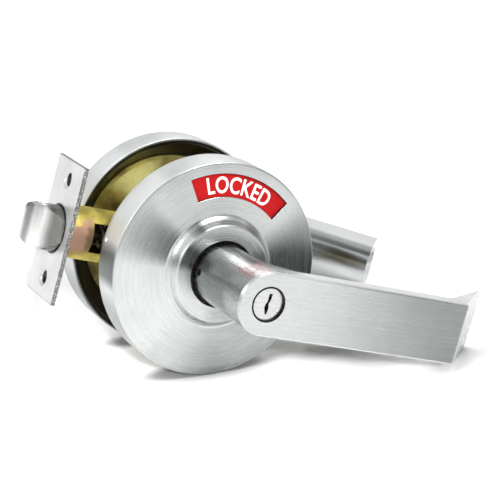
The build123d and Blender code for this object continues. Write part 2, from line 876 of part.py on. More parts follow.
# Lever catches: sprung pins through spindle and neck, pushed in to take a lever off
def make_catch(side):
    flange_width, flange_height, flange_length = catch_flange
    with BuildPart() as catch:
        with BuildSketch(Plane.YZ.offset(-catch_face)):
            with Locations((-catch_depth, 0)):
                Circle(catch_radius)
        extrude(amount=catch_face - catch_seat)
        with BuildSketch(Plane.YZ.offset(-catch_seat)):
            with Locations((-catch_depth, 0)):
                RectangleRounded(flange_width, flange_height, catch_flange_corner)
        extrude(amount=flange_length)
        to_side(side)
    write(catch, f"{side}_lever_catch")


def make_catch_spring(side):
    front_x = -catch_seat + catch_flange[2]
    back_x = front_x + leaf_sheet
    near_depth = catch_depth - leaf_half_length
    far_depth = catch_depth + leaf_half_length
    root_x = -sqrt(spindle_bore**2 - leaf_half_width**2)
    with BuildPart() as spring:
        with BuildSketch(Plane.XY.offset(-leaf_half_width)):
            with BuildLine():
                Polyline(
                    (root_x, -leaf_root_depth),
                    (back_x, -near_depth),
                    (back_x, -far_depth),
                    (front_x, -far_depth),
                    (front_x, -near_depth),
                    (root_x, -leaf_root_depth - leaf_root_length),
                    close=True,
                )
            make_face()
        extrude(amount=2 * leaf_half_width)
        to_side(side)
    write(spring, f"{side}_catch_spring")


# Key cylinder: shell with its pin chamber, and the plug that the key turns
def make_cylinder_body():
    with BuildPart() as shell:
        ring(plug_radius + running_gap, cylinder_radius, core_floor_depth, cylinder_face_depth)
        with BuildSketch(outward(core_floor_depth)):
            with Locations((0, -bible_reach / 2)):
                Rectangle(2 * bible_half_width, bible_reach)
            Circle(cylinder_radius, mode=Mode.SUBTRACT)
        extrude(amount=bible_length)
    write(shell, "cylinder_body")


def make_key_plug():
    half_width = keyway_width / 2
    half_height = keyway_height / 2
    with BuildPart() as plug:
        ring(0, plug_radius, plug_root_depth, plug_shoulder_depth)
        ring(0, plug_face_radius, plug_shoulder_depth, plug_face_depth)
        with BuildSketch(outward(plug_face_depth)):
            with BuildLine():
                Polyline(
                    (half_width + 0.35, half_height),
                    (half_width + 0.1, 1.2),
                    (half_width - 0.4, 0.2),
                    (half_width + 0.1, -1.3),
                    (half_width - 0.2, -half_height),
                    (half_width - 0.9, -half_height),
                    (-half_width - 0.3, -1.6),
                    (-half_width - 0.2, -0.2),
                    (-half_width + 0.4, 0.9),
                    (-half_width + 0.5, half_height),
                    close=True,
                )
            make_face()
        extrude(amount=-keyway_depth, mode=Mode.SUBTRACT)
    write(plug, "key_plug")


def make_tailpiece():
    with BuildPart() as tailpiece:
        with BuildSketch(outward(rod_outside_end + tailpiece_gap)):
            Rectangle(tailpiece_sheet, tailpiece_width)
        extrude(amount=plug_root_depth - rod_outside_end - tailpiece_gap)
    write(tailpiece, "plug_tailpiece")


# Turn button in the inside lever, the rod that it turns and the crank that drives the indicator
def make_turn_button():
    with BuildPart() as button:
        with BuildSketch(Plane.XZ.offset(-button_root_depth)):
            Circle(cylinder_radius - button_gap)
        extrude(amount=-(button_face_depth - button_root_depth))
        with BuildSketch(Plane.XZ.offset(-button_face_depth)):
            SlotOverall(button_grip_length, button_grip_width, rotation=90)
        extrude(amount=-button_grip)
        grip_edges = button.faces().sort_by(Axis.Y)[-1].edges()
        fillet(grip_edges, radius=button_round)
        with BuildSketch(Plane.XZ.offset(-button_root_depth)):
            Circle(rod_radius)
        extrude(amount=-(rod_inside_end - button_root_depth), mode=Mode.SUBTRACT)
    write(button, "turn_button")


def make_lock_rod():
    with BuildPart() as rod:
        with BuildSketch(outward(rod_outside_end)):
            Circle(rod_radius)
        extrude(amount=-(rod_outside_end + rod_inside_end))
        chamfer(rod.edges().filter_by(GeomType.CIRCLE).sort_by(Axis.Y)[0], length=rod_chamfer)
    write(rod, "lock_rod")


def make_indicator_crank():
    arm_half = crank_arm_half_width
    end_half = crank_end_half_width
    with BuildPart() as crank:
        with BuildSketch(outward(-crank_half_thickness)):
            with BuildLine():
                Polyline((crank_reach, -end_half), (0, -arm_half), (0, arm_half), (crank_reach, end_half))
                ThreePointArc((crank_reach, end_half), (crank_reach + end_half, 0), (crank_reach, -end_half))
            make_face()
            Circle(crank_boss_radius)
            Circle(rod_radius, mode=Mode.SUBTRACT)
        extrude(amount=2 * crank_half_thickness)
        with BuildSketch(outward(crank_half_thickness)):
            with Locations((crank_reach, 0)):
                Circle(crank_pin_radius)
        extrude(amount=guide_rim_depth + crank_pin_extra - crank_half_thickness)
    write(crank, "indicator_crank")


# Indicator disc: dished to lie just under the rose, with its two signs a quarter turn apart
def make_indicator_disc():
    outer_face = cone_depth(disc_outer_radius) - rose_sheet - disc_gap
    inner_face = cone_depth(disc_cone_radius) - rose_sheet - disc_gap
    hub_face = guide_rim_depth
    with BuildPart() as disc:
        with BuildSketch(Plane.XY):
            with BuildLine():
                Polyline(
                    (guide_rim_radius + running_gap, -hub_face),
                    (disc_cone_radius - disc_step, -hub_face),
                    (disc_cone_radius, -inner_face),
                    (disc_outer_radius, -outer_face),
                    (disc_outer_radius, -outer_face + disc_sheet),
                    (disc_cone_radius + 0.3, -inner_face + disc_sheet),
                    (disc_cone_radius - disc_step + 0.3, -hub_face + disc_sheet),
                    (guide_rim_radius + running_gap, -hub_face + disc_sheet),
                    close=True,
                )
            make_face()
        revolve(axis=Axis.Y)
        with BuildSketch(outward(guide_rim_depth - disc_sheet - 1)):
            with Locations((crank_reach, 0)):
                Circle(crank_pin_radius + running_gap)
        extrude(amount=3, mode=Mode.SUBTRACT)
    write(disc, "indicator_disc")


for name_of_side in ("outside", "inside"):
    make_rose(name_of_side)
    make_liner(name_of_side)
    make_hub(name_of_side)
    make_hub_nut(name_of_side)
    make_return_spring(name_of_side)
    make_spindle_clip(name_of_side)
    make_rod_guide(name_of_side)
    make_spring_driver(name_of_side)
    make_lever(name_of_side)
    make_catch(name_of_side)
    make_catch_spring(name_of_side)
make_spindle("outside", outside_cam_depth, outside_cam_length)
make_spindle("inside", inside_cam_depth, inside_cam_length)
make_mounting_screws()
make_stop_pins()
make_chassis_drum()
make_retractor_guide()
make_retractor()
make_retractor_springs()
make_spring_plate()
make_faceplate()
make_latch_case()
make_latch_spring_seat()
make_latch_spring()
make_latch_bolt()
make_latch_tail()
make_cylinder_body()
make_key_plug()
make_tailpiece()
make_turn_button()
make_lock_rod()
make_indicator_crank()
make_indicator_disc()
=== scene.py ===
"""Indicator lever lock: studio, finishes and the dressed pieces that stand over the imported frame.

Sizes are millimetres in the classes and become metres where a mesh is written. The row frame has its
origin on the spindle axis, midway between the roses: -Y outside, +Y inside, -X the door edge, +Z up.
"""
import sys
import logging
import math
from collections.abc import Callable, Iterable, Iterator
from contextlib import contextmanager
from dataclasses import dataclass
from enum import Enum
from functools import cached_property, lru_cache
from typing import Any

import bmesh
import bpy
import numpy as np
from bpy.types import Material, Mesh, Node, NodeSocket, Object, World
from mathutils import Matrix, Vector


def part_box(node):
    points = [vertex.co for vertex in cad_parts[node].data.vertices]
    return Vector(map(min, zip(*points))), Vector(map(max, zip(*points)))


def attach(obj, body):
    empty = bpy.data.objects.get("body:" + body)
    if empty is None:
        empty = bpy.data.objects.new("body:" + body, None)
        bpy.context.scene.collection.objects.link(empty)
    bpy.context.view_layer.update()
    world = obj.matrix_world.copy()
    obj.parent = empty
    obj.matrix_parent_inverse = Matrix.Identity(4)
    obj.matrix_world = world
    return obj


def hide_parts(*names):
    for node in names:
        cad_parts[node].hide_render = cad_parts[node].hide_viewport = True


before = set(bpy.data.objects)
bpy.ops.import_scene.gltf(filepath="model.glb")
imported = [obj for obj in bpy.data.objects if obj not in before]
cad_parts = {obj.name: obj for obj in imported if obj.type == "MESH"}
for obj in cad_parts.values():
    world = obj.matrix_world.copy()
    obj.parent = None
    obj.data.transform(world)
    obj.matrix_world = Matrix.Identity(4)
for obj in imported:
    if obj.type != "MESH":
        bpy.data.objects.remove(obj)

MM = 0.001
TINY = 0.001
SIDES = ("outside", "inside")
SMOOTH_BELOW = math.radians(32.0)
ROUNDED_ABOVE = math.radians(40.0)
Pair = tuple[float, float]
Vector3 = tuple[float, float, float]
Colour = tuple[float, float, float]
log = logging.getLogger("lever_lock")


# Data blocks

def configured(block: Any, **settings: Any) -> Any:
    """Set a data block's properties by name, and return it."""
    for name, value in settings.items():
        setattr(block, name, value)
    return block


def link(name: str, data: Any, **settings: Any) -> Object:
    """Make an object of a mesh, lamp, camera or curve, and link it to the scene."""
    thing = bpy.data.objects.new(name, data)
    bpy.context.scene.collection.objects.link(thing)
    return configured(thing, **settings)


def vectors(items: Any, name: str) -> np.ndarray:
    """Read one vector property of all items, as (n, 3) numbers."""
    values = np.empty(len(items) * 3, np.float32)
    items.foreach_get(name, values)
    return values.reshape(-1, 3)


@contextmanager
def welded(mesh: Mesh, reach: float) -> Iterator[bmesh.types.BMesh]:
    """Open a mesh for editing with the vertices within a reach in metres joined, then write it back."""
    work = bmesh.new()
    work.from_mesh(mesh)
    bmesh.ops.remove_doubles(work, verts=work.verts, dist=reach)
    yield work
    work.to_mesh(mesh)
    work.free()


# Shader writing

def operator(name: str, reflected: bool = False) -> Callable[["Term", "Term | float"], "Term"]:
    """Make an operator's method, which adds the Math node of that name; reflected, self comes second."""

    def method(self: "Term", other: "Term | float") -> "Term":
        """Add the node."""
        return self.math(name, other, self) if reflected else self.math(name, self, other)

    return method


class Term:
    """A shader value: arithmetic on it adds Math nodes to its tree."""

    __add__ = operator("ADD")
    __radd__ = operator("ADD", reflected=True)
    __sub__ = operator("SUBTRACT")
    __rsub__ = operator("SUBTRACT", reflected=True)
    __mul__ = operator("MULTIPLY")
    __rmul__ = operator("MULTIPLY", reflected=True)
    __truediv__ = operator("DIVIDE")
    __rtruediv__ = operator("DIVIDE", reflected=True)
    __pow__ = operator("POWER")
    maximum = operator("MAXIMUM")

    def __init__(self, tree: "Tree", socket: NodeSocket) -> None:
        """Keep the tree and the output socket that carries the value."""
        self.tree = tree
        self.socket = socket

    def math(self, operation: str, *operands: "Term | float") -> "Term":
        """Add one Math node, by Blender's name of the operation, with its inputs in order."""
        node = self.tree.add("ShaderNodeMath", {"operation": operation}, dict(enumerate(operands)))
        return Term(self.tree, node.outputs[0])

    def __abs__(self) -> "Term":
        """Size without the sign."""
        return self.math("ABSOLUTE", self)

    def step(self, low: float, high: float) -> "Term":
        """Smooth step from 0 at low to 1 at high."""
        settings = {"interpolation_type": "SMOOTHSTEP", "clamp": True}
        node = self.tree.add("ShaderNodeMapRange", settings, {0: self, 1: low, 2: high})
        return Term(self.tree, node.outputs[0])

    def size_step(self, low: float, high: float) -> "Term":
        """Smooth step of the size, whatever the sign, worked out on the squares."""
        return (self * self).step(low**2, high**2)


def span(*parts: Term) -> Term:
    """Length of the vector that the values make: the root of the sum of their squares."""
    first, *others = (part * part for part in parts)
    return sum(others, first) ** 0.5


class Tree:
    """The node tree of a material or the world, with the few nodes that the finishes use."""

    def __init__(self, holder: Material | World) -> None:
        """Empty the holder's node tree."""
        holder.use_nodes = True
        self.holder = holder
        self.nodes = holder.node_tree
        self.nodes.nodes.clear()

    @classmethod
    def material(cls, name: str) -> "Tree":
        """Start a new material."""
        return cls(bpy.data.materials.new(name))

    def add(self, kind: str, settings: dict | None = None, sockets: dict | None = None) -> Node:
        """Add a node: its settings first, then the values or links of its sockets.

        Args:
            kind: the node's type.
            settings: the node's properties by name.
            sockets: input names or numbers, and a value, a Term or a socket for each.

        Returns:
            The node.
        """
        node = self.nodes.nodes.new(kind)
        configured(node, **(settings or {}))
        for name, value in (sockets or {}).items():
            source = value.socket if isinstance(value, Term) else value
            if isinstance(source, NodeSocket):
                self.nodes.links.new(source, node.inputs[name])
            elif isinstance(source, tuple) and node.inputs[name].type == "RGBA":
                node.inputs[name].default_value = (*source, 1.0)
            else:
                node.inputs[name].default_value = source
        return node

    @cached_property
    def place(self) -> tuple[Term, Term, Term]:
        """Object coordinates in millimetres, as three values."""
        coordinates = self.add("ShaderNodeTexCoord")
        parts = self.add("ShaderNodeSeparateXYZ", sockets={0: coordinates.outputs["Object"]})
        x, y, z = (Term(self, output) / MM for output in parts.outputs)
        return x, y, z

    @cached_property
    def radius(self) -> Term:
        """Distance from the spindle axis."""
        return span(self.place[0], self.place[2])

    def cosine_from(self, angle: float) -> Term:
        """Cosine of the turn from an angle in degrees, clockwise from +Z as seen from outside."""
        x, _, z = self.place
        turn = math.radians(angle)
        return (x * math.sin(turn) + z * math.cos(turn)) / (self.radius + TINY)

    def sector(self, angle: float, half_width: float) -> Term:
        """1 at an angle about the spindle axis and 0 from its half width on, by the cosine."""
        return self.cosine_from(angle).step(math.cos(math.radians(half_width)), 1.0)

    def noise(self, x: Any, y: Any, z: Any, detail: float = 2.0, roughness: float = 0.5) -> Term:
        """Noise of mean 0.5 on three values, each already scaled to its grain."""
        point = self.add("ShaderNodeCombineXYZ", sockets={0: x, 1: y, 2: z})
        sockets = {"Vector": point.outputs[0], "Scale": 1.0, "Detail": detail, "Roughness": roughness}
        return Term(self, self.add("ShaderNodeTexNoise", sockets=sockets).outputs[0])

    def cloud(self, size: float, detail: float = 2.0, roughness: float = 0.5) -> Term:
        """Noise whose clouds are about that many millimetres wide."""
        x, y, z = self.place
        return self.noise(x / size, y / size, z / size, detail, roughness)

    def blend(self, factor: Term | float, first: Any, second: Any) -> NodeSocket:
        """Mix two colours or sockets: a factor of 0 gives the first and 1 the second."""
        settings = {"data_type": "RGBA", "clamp_factor": True}
        return self.add("ShaderNodeMix", settings, {0: factor, 6: first, 7: second}).outputs[2]

    def bump(self, height: Term, depth: float) -> NodeSocket:
        """Bent normal from a height of 0 to 1 that stands for a depth in millimetres."""
        sockets = {"Strength": 1.0, "Distance": depth * MM, "Height": height}
        return self.add("ShaderNodeBump", sockets=sockets).outputs[0]

    def surface(self, **sockets: Any) -> Material:
        """Close the tree with a Principled shader.

        Args:
            sockets: its input names, with _ for a space, and their values.

        Returns:
            The material.
        """
        named = {name.replace("_", " "): value for name, value in sockets.items()}
        shader = self.add("ShaderNodeBsdfPrincipled", sockets=named)
        self.add("ShaderNodeOutputMaterial", sockets={0: shader.outputs[0]})
        return self.holder


# Finishes

class Grain(Enum):
    """Which way the brushing of a metal runs."""

    TURNED = "circles about the spindle axis"
    ALONG_X = "lengthwise on the lever"
    ALONG_Z = "up and down"
    ALONG_Y = "along the spindle axis"


@dataclass(frozen=True)
class PaintedSector:
    """A sector of a surface painted lighter or darker, fading to both sides: painted reflection and shade
    that stand for the fan that brushed or turned metal reflects.

    Its angle is in degrees clockwise from +Z as seen from outside, and it fades out between two radii.
    """

    angle: float
    half_width: float
    amount: float
    fades_from: float = 44.0
    gone_at: float = 60.0

    def tone(self, tree: Tree) -> Term:
        """Its amount times the smooth step of the cosine of the angle from its middle."""
        strength = tree.sector(self.angle, self.half_width) * self.amount
        return strength * (1.0 - tree.radius.step(self.fades_from, self.gone_at))


@dataclass(frozen=True)
class PaintedStripe:
    """A stripe of painted reflection, lighter or darker, across a surface at one place on a coordinate.
    """

    centre: float
    half_width: float
    amount: float

    def tone(self, place: Term) -> Term:
        """Its amount at its centre and 0 from its half width on, smoothly between."""
        offset = (place - self.centre) / self.half_width
        return (1.0 - (offset * offset).step(0.0, 1.0)) * self.amount


def several(kind: type, *rows: tuple[float, ...]) -> tuple[Any, ...]:
    """Sectors or stripes, each from a row of its numbers."""
    return tuple(kind(*row) for row in rows)


def tones(marks: Iterable[PaintedSector | PaintedStripe], where: Tree | Term) -> Term | float:
    """Summed tone of sectors on a tree's surface, or of stripes across a coordinate."""
    return sum(mark.tone(where) for mark in marks)


@dataclass(frozen=True)
class Brushed:
    """Metal with the fine lines of a brush or a lathe, streaked in tone and roughness, with painted light
    and shade in places.
    """

    name: str
    grain: Grain
    light: Colour = (0.78, 0.80, 0.79)
    dark: Colour = (0.58, 0.60, 0.59)
    roughness: float = 0.30
    line: float = 0.30
    line_depth: float = 0.03
    run: float = 26.0
    contrast: float = 1.0
    streak: float = 0.5
    cloud: float = 0.3
    middle_tone: float = 0.7
    fine_share: float = 0.9
    cloud_size: float = 14.0
    streak_roughness: float = 0.2
    cloud_roughness: float = 0.1

    def lines(self, tree: Tree, grain: Grain) -> tuple[Term, Term]:
        """Fine and broad lines: noise squeezed across the grain and stretched along it.

        Args:
            tree: the material's tree.
            grain: which way the lines run.

        Returns:
            The fine lines and the broad streaks, both about 0.5 on average.
        """
        x, y, z = tree.place
        if grain is Grain.TURNED:
            turn_x, turn_z = (part / (tree.radius + 1.0) * 40.0 for part in (x, z))
            across, along, third = tree.radius + y * 0.9, turn_x, turn_z
        elif grain is Grain.ALONG_X:
            across, along, third = z, x, y
        elif grain is Grain.ALONG_Y:
            across, along, third = x, y, z * (self.run / self.line)
        else:
            across, along, third = y, z, x * 6.0
        fine = tree.noise(across / self.line, along / self.run, third / self.run, 2.0, 0.6)
        width, length = self.line * 5.0, self.run * 1.4
        return fine, tree.noise(across / width, along / length, third / length, 3.0)

    def streaks(self, tree: Tree) -> tuple[Term, Term]:
        """Fine and broad lines of the whole piece."""
        return self.lines(tree, self.grain)

    def shading(self, tree: Tree) -> Term | float:
        """Painted light and shade added to the tone in places; none on plain brushed metal."""
        return 0.0

    def coarseness(self, tree: Tree) -> Term | float:
        """Roughness added in places; none on plain brushed metal."""
        return 0.0

    def metal(self, tree: Tree) -> Term | float:
        """How metallic the surface is; wholly on plain brushed metal."""
        return 1.0

    def material(self) -> Material:
        """Colour and roughness follow the streaks, the colour also the painted light and shade of
        shading(), and the fine lines stand in the surface.
        """
        tree = Tree.material(self.name)
        fine, broad = self.streaks(tree)
        cloud = tree.cloud(self.cloud_size)
        tone = ((fine - 0.5) * self.fine_share + (broad - 0.5) * self.streak) * self.contrast
        tone = tone + (cloud - 0.5) * self.cloud + self.middle_tone + self.shading(tree)
        rough = (broad - 0.5) * self.streak_roughness + (cloud - 0.5) * self.cloud_roughness
        return tree.surface(
            Base_Color=tree.blend(tone, self.dark, self.light),
            Metallic=self.metal(tree),
            Roughness=rough + self.roughness + self.coarseness(tree),
            Normal=tree.bump(fine, self.line_depth),
        )


@dataclass(frozen=True)
class RoseChrome(Brushed):
    """Turned chrome of the roses, with painted reflection sectors on face, collar and wall, and painted
    shade in the bore and the pierced hole.
    """

    # the sectors paint reflection and shade onto face, collar and wall
    sectors: tuple[PaintedSector, ...] = ()
    collar_sectors: tuple[PaintedSector, ...] = ()
    wall_sectors: tuple[PaintedSector, ...] = ()
    collar_slope: Pair = (19.9, 23.8)
    face_depth: float = 28.7
    bore_radius: float = 44.5
    wall_coarseness: float = 0.14
    wall_metal: float = 0.72
    pierced: Vector3 = (-45.19, -17.2, 2.37)
    pierced_square: Pair = (0.2, 0.4)
    # tones of the painted shade in the bore and the pierced hole
    bore_shade_tone: float = 1.5
    pierced_shade_tone: float = 2.0

    def on_face(self, tree: Tree) -> Term:
        """1 on the face and collar, 0 on the wall."""
        return tree.place[1].size_step(self.face_depth, self.face_depth + 0.8)

    def shading(self, tree: Tree) -> Term:
        """Painted reflection sectors of the face, the collar's slope and the wall, and painted shade in
        the bore and the pierced hole.
        """
        face = self.on_face(tree)
        # painted shade on the rose's inner wall and in the pierced hole
        bore = 1.0 - tree.radius.size_step(self.bore_radius, self.bore_radius + 0.3)
        away = span(*(part - middle for part, middle in zip(tree.place, self.pierced)))
        pierced = 1.0 - (away * away).step(*self.pierced_square)
        wall = tones(self.wall_sectors, tree) - bore * self.bore_shade_tone - pierced * self.pierced_shade_tone
        first, last = self.collar_slope
        slope = tree.radius.step(first, first + 0.4) * (1.0 - tree.radius.step(last, last + 0.6))
        front = tones(self.sectors, tree) * (1.0 - slope) + tones(self.collar_sectors, tree) * slope
        return front * face + wall * (1.0 - face)

    def coarseness(self, tree: Tree) -> Term:
        """The wall is rougher than the face."""
        return (1.0 - self.on_face(tree)) * self.wall_coarseness

    def metal(self, tree: Tree) -> Term:
        """The wall's dull skin hides part of the metal."""
        return self.on_face(tree) * (1.0 - self.wall_metal) + self.wall_metal


@dataclass(frozen=True)
class LeverChrome(Brushed):
    """Brushed chrome of a lever: lines along the blade and, on the neck, along the spindle axis; painted
    reflections on blade, top rim, neck and back.
    """

    grain: Grain = Grain.ALONG_X
    line: float = 0.28
    cloud: float = 0.15
    # the fade, the rim's tone, the neck sectors and the back stripes are painted reflections
    fade: tuple[float, float, float] = (0.0, 91.0, -0.6)
    bend: float = 92.2
    neck_sectors: tuple[PaintedSector, ...] = ()
    neck_end: Pair = (60.0, 67.0)
    blade_from: Pair = (15.0, 19.0)
    rim_height: Pair = (12.3, 12.8)
    rim_highlight_tone: float = 0.35
    back_reflection_stripes: tuple[PaintedStripe, ...] = ()
    back_from: float = 50.0
    back_depth: Pair = (75.7852, 76.3852)

    def on_neck(self, tree: Tree) -> Term:
        """1 on the neck and 0 on the blade and its return, by depth and by distance from the spindle."""
        x, y, _ = tree.place
        return (1.0 - abs(y).step(*self.neck_end)) * (1.0 - x.step(*self.blade_from))

    def streaks(self, tree: Tree) -> tuple[Term, Term]:
        """The blade's lines and the neck's, joined where the neck flares."""
        neck = self.on_neck(tree)
        blade = self.lines(tree, Grain.ALONG_X)
        round_neck = self.lines(tree, Grain.ALONG_Y)
        fine, broad = (a * (1.0 - neck) + b * neck for a, b in zip(blade, round_neck))
        return fine, broad

    def shading(self, tree: Tree) -> Term:
        """Painted reflections: a fade along the blade up to the bend, a lighter top rim, neck sectors,
        stripes behind and on the return.
        """
        x, y, z = tree.place
        start, end, amount = self.fade
        neck = self.on_neck(tree)
        # painted highlight along the blade's top rim
        rim = z.size_step(*self.rim_height)
        tone = x.step(start, end) * (1.0 - x.step(self.bend, self.bend + 1.5)) * amount * (1.0 - neck)
        tone = tone * (1.0 - rim) + rim * self.rim_highlight_tone
        tone = tone + tones(self.neck_sectors, tree) * neck
        if self.back_reflection_stripes:
            behind = (1.0 - abs(y).step(*self.back_depth)) * x.step(self.back_from, self.back_from + 5.0)
            tone = tone + tones(self.back_reflection_stripes, z) * behind
        return tone


@dataclass(frozen=True)
class BoltChrome(Brushed):
    """Polished bolt, with upright strips of painted reflection along its slanted face, and painted shade
    on its round sides.
    """

    reflection_bands: tuple[PaintedStripe, ...] = ()
    sides: Pair = (6.5, 9.5)
    side_shade_tone: float = -0.45

    def shading(self, tree: Tree) -> Term:
        """Painted reflection strips by the distance out of the plate, and painted shade on the round
        sides.
        """
        x, _, z = tree.place
        return z.size_step(*self.sides) * self.side_shade_tone + tones(self.reflection_bands, x)


@dataclass(frozen=True)
class PlateChrome(Brushed):
    """Brushed faceplate: its sheared edge is mottled, and its holes and the gap round the bolt carry
    painted shade.
    """

    half_size: Pair = (14.3, 28.6)
    hole_height: float = 20.65
    hole_radius: float = 2.5
    bolt_hole: float = 9.8
    edge: Pair = (0.25, 0.05)
    tip: Pair = (0.8, 0.3)
    tip_least: float = 0.5
    tip_tone: float = 0.35
    hole_shade_tone: float = 2.0
    skin_metal: float = 0.78

    def in_hole(self, tree: Tree) -> Term:
        """1 in the two screw holes, 0 from just outside their edge."""
        _, y, z = tree.place
        away = span(y, abs(z) - self.hole_height)
        return 1.0 - away.size_step(self.hole_radius, self.hole_radius + 0.4)

    def shading(self, tree: Tree) -> Term:
        """Mottled dark edge, a face that darkens at its two ends, and painted shade in the holes and the
        gap round the bolt.
        """
        x, y, z = tree.place
        half_width, half_height = self.half_size
        mottle = tree.noise(x / 0.5, y / 0.8, z / 0.8, 3.0, 0.7).step(0.35, 0.65) + 0.05
        start, full = self.edge
        side = y.size_step(half_width - start, half_width - full)
        end = z.size_step(half_height - start, half_height - full)
        start, full = self.tip
        tip = z.size_step(half_height - start, half_height - full).maximum(self.tip_least)
        # painted shade in a ring round the bolt's hole, and in the screw holes
        gap = 1.0 - span(y, z).size_step(self.bolt_hole + 0.3, self.bolt_hole + 0.8)
        dark = side.maximum(end) * mottle + tip * self.tip_tone
        return (dark + (self.in_hole(tree) + gap) * self.hole_shade_tone) * -1.0

    def metal(self, tree: Tree) -> Term:
        """The plate's dull skin hides part of the metal, but not in the holes."""
        return self.in_hole(tree) * (1.0 - self.skin_metal) + self.skin_metal


@dataclass(frozen=True)
class YellowZinc:
    """Zinc plate passivated yellow: olive and gold clouds and, on the subclasses, one zone of another
    colour: painted shade on the liners, a rosy patch on the case.
    """

    name: str
    # the default zone colour is the liners' painted shade
    zone_colour: Colour = (0.034, 0.029, 0.030)
    gold: Colour = (0.80, 0.74, 0.32)
    olive: Colour = (0.37, 0.31, 0.13)
    roughness: float = 0.18
    cloud_size: float = 13.0
    speck_size: float = 0.6
    gold_steps: Pair = (0.36, 0.66)

    def zone(self, tree: Tree) -> Term | float:
        """Where the zone's colour lies, 0 to 1; none on this finish."""
        return 0.0

    def painted_light(self, tree: Tree, cover: NodeSocket) -> NodeSocket:
        """Painted light and shade over the clouds and the zone; none on this finish."""
        return cover

    def wear(self, tree: Tree) -> Term | float:
        """How much rougher the worn places are; none on this finish."""
        return 0.0

    def material(self) -> Material:
        """Clouds of two sizes choose between gold and olive, and specks roughen the film."""
        tree = Tree.material(self.name)
        broad = tree.cloud(self.cloud_size, 3.0, 0.6)
        speck = tree.cloud(self.speck_size, 2.0, 0.7)
        cover = tree.blend(broad.step(*self.gold_steps), self.olive, self.gold)
        return tree.surface(
            Base_Color=self.painted_light(tree, tree.blend(self.zone(tree), cover, self.zone_colour)),
            Metallic=1.0,
            Roughness=speck * 0.25 + broad * 0.1 + self.roughness + self.wear(tree),
            Normal=tree.bump(speck, 0.03),
        )


@dataclass(frozen=True)
class DishZinc(YellowZinc):
    """Yellow zinc of the liners: painted shade on the steep wall and behind the case, and a painted
    highlight on an arc of the flat, which is also rougher.
    """

    wall_radius: float = 35.2
    painted_highlight: Colour = (1.0, 0.97, 0.50)
    highlight_angle: float = -38.0
    highlight_half: float = 26.0
    highlight_roughness: float = 0.3
    highlight_least: float = 0.7
    case_shadow_place: Pair = (-32.0, -3.5)
    case_shadow_size: Pair = (8.0, 7.5)
    case_shadow_steps: Pair = (0.7, 1.1)
    wall_shade_least: float = 0.93

    def highlight_arc(self, tree: Tree) -> Term:
        """The arc of the flat that carries the painted highlight, by the cosine of the angle from its
        middle.
        """
        inside = 1.0 - tree.radius.step(self.wall_radius - 1.7, self.wall_radius - 0.7)
        return tree.sector(self.highlight_angle, self.highlight_half) * inside

    def wear(self, tree: Tree) -> Term:
        """The highlight arc is rougher, so that it glows."""
        return self.highlight_arc(tree) * self.highlight_roughness

    def painted_light(self, tree: Tree, cover: NodeSocket) -> NodeSocket:
        """Paint a highlight on the arc, and paint shade on the flat behind the case."""
        x, _, z = tree.place
        cloud = tree.cloud(3.0, 3.0, 0.6).step(0.25, 0.6)
        # painted highlight on the arc
        share = cloud * (1.0 - self.highlight_least) + self.highlight_least
        painted_highlight = tree.blend(self.highlight_arc(tree) * share, cover, self.painted_highlight)
        # painted shade on the flat behind the case
        places = zip((x, z), self.case_shadow_place, self.case_shadow_size)
        behind = span(*((part - middle) / half for part, middle, half in places))
        return tree.blend(1.0 - (behind * behind).step(*self.case_shadow_steps), painted_highlight, self.zone_colour)

    def zone(self, tree: Tree) -> Term:
        """Everything outside the flat: painted shade on the steep wall."""
        clouded = tree.cloud(9.0) * 0.08 + self.wall_shade_least
        return tree.radius.step(self.wall_radius, self.wall_radius + 0.8) * clouded


@dataclass(frozen=True)
class CaseZinc(YellowZinc):
    """Yellow zinc of the latch case, with a rosy patch along its middle, and painted shade in a crease
    and inside the bore.
    """

    centre_x: float = -52.5
    half_length: float = 6.5
    half_height: float = 7.5
    lean: float = 0.25
    patch_steps: Pair = (0.35, 1.25)
    patch_raggedness: float = 2.6
    bore_radius: float = 10.4
    bore_shade_colour: Colour = (0.035, 0.030, 0.022)
    crease_x: float = -48.2
    crease_width: float = 3.0
    crease_height: Pair = (3.0, 7.0)
    crease_raggedness: float = 3.0
    crease_strength: float = 0.8
    crease_shade_colour: Colour = (0.16, 0.11, 0.06)

    def zone(self, tree: Tree) -> Term:
        """A leaning oval round the patch's middle, its edge broken by noise."""
        x, _, z = tree.place
        away = span((x - z * self.lean - self.centre_x) / self.half_length, z / self.half_height)
        ragged = (tree.cloud(4.0, 3.0) - 0.5) * self.patch_raggedness
        return 1.0 - (away * away + ragged).step(*self.patch_steps)

    def painted_light(self, tree: Tree, cover: NodeSocket) -> NodeSocket:
        """Paint shade into the crease before the window, and paint shade over everything inside the bore.
        """
        x, y, z = tree.place
        # painted shade inside the bore and in the crease
        bore = 1.0 - span(y, z).size_step(self.bore_radius - 0.3, self.bore_radius)
        near = x + (tree.cloud(2.5) - 0.5) * self.crease_raggedness - self.crease_x
        crease = (1.0 - near.size_step(1.0, self.crease_width)) * self.crease_strength
        crease_shaded = tree.blend(crease * (1.0 - z.size_step(*self.crease_height)), cover, self.crease_shade_colour)
        return tree.blend(bore, crease_shaded, self.bore_shade_colour)


@dataclass(frozen=True)
class PlainMetal:
    """Unfinished working metal: a clouded tone with fine scratches in no direction."""

    name: str
    light: Colour
    dark: Colour
    roughness: float = 0.35

    def material(self) -> Material:
        """Cloud for the tone, small noise for the scratches."""
        tree = Tree.material(self.name)
        x, y, z = tree.place
        scratch = tree.noise(x / 0.25, y / 1.5, z / 0.25, 3.0, 0.7)
        return tree.surface(
            Base_Color=tree.blend(tree.cloud(5.0, 3.0).step(0.3, 0.7), self.dark, self.light),
            Metallic=1.0,
            Roughness=scratch * 0.2 + (self.roughness - 0.1),
            Normal=tree.bump(scratch, 0.008),
        )


def dimmed(colour: Colour, share: float) -> Colour:
    """That share of a colour's light."""
    return tuple(channel * share for channel in colour)


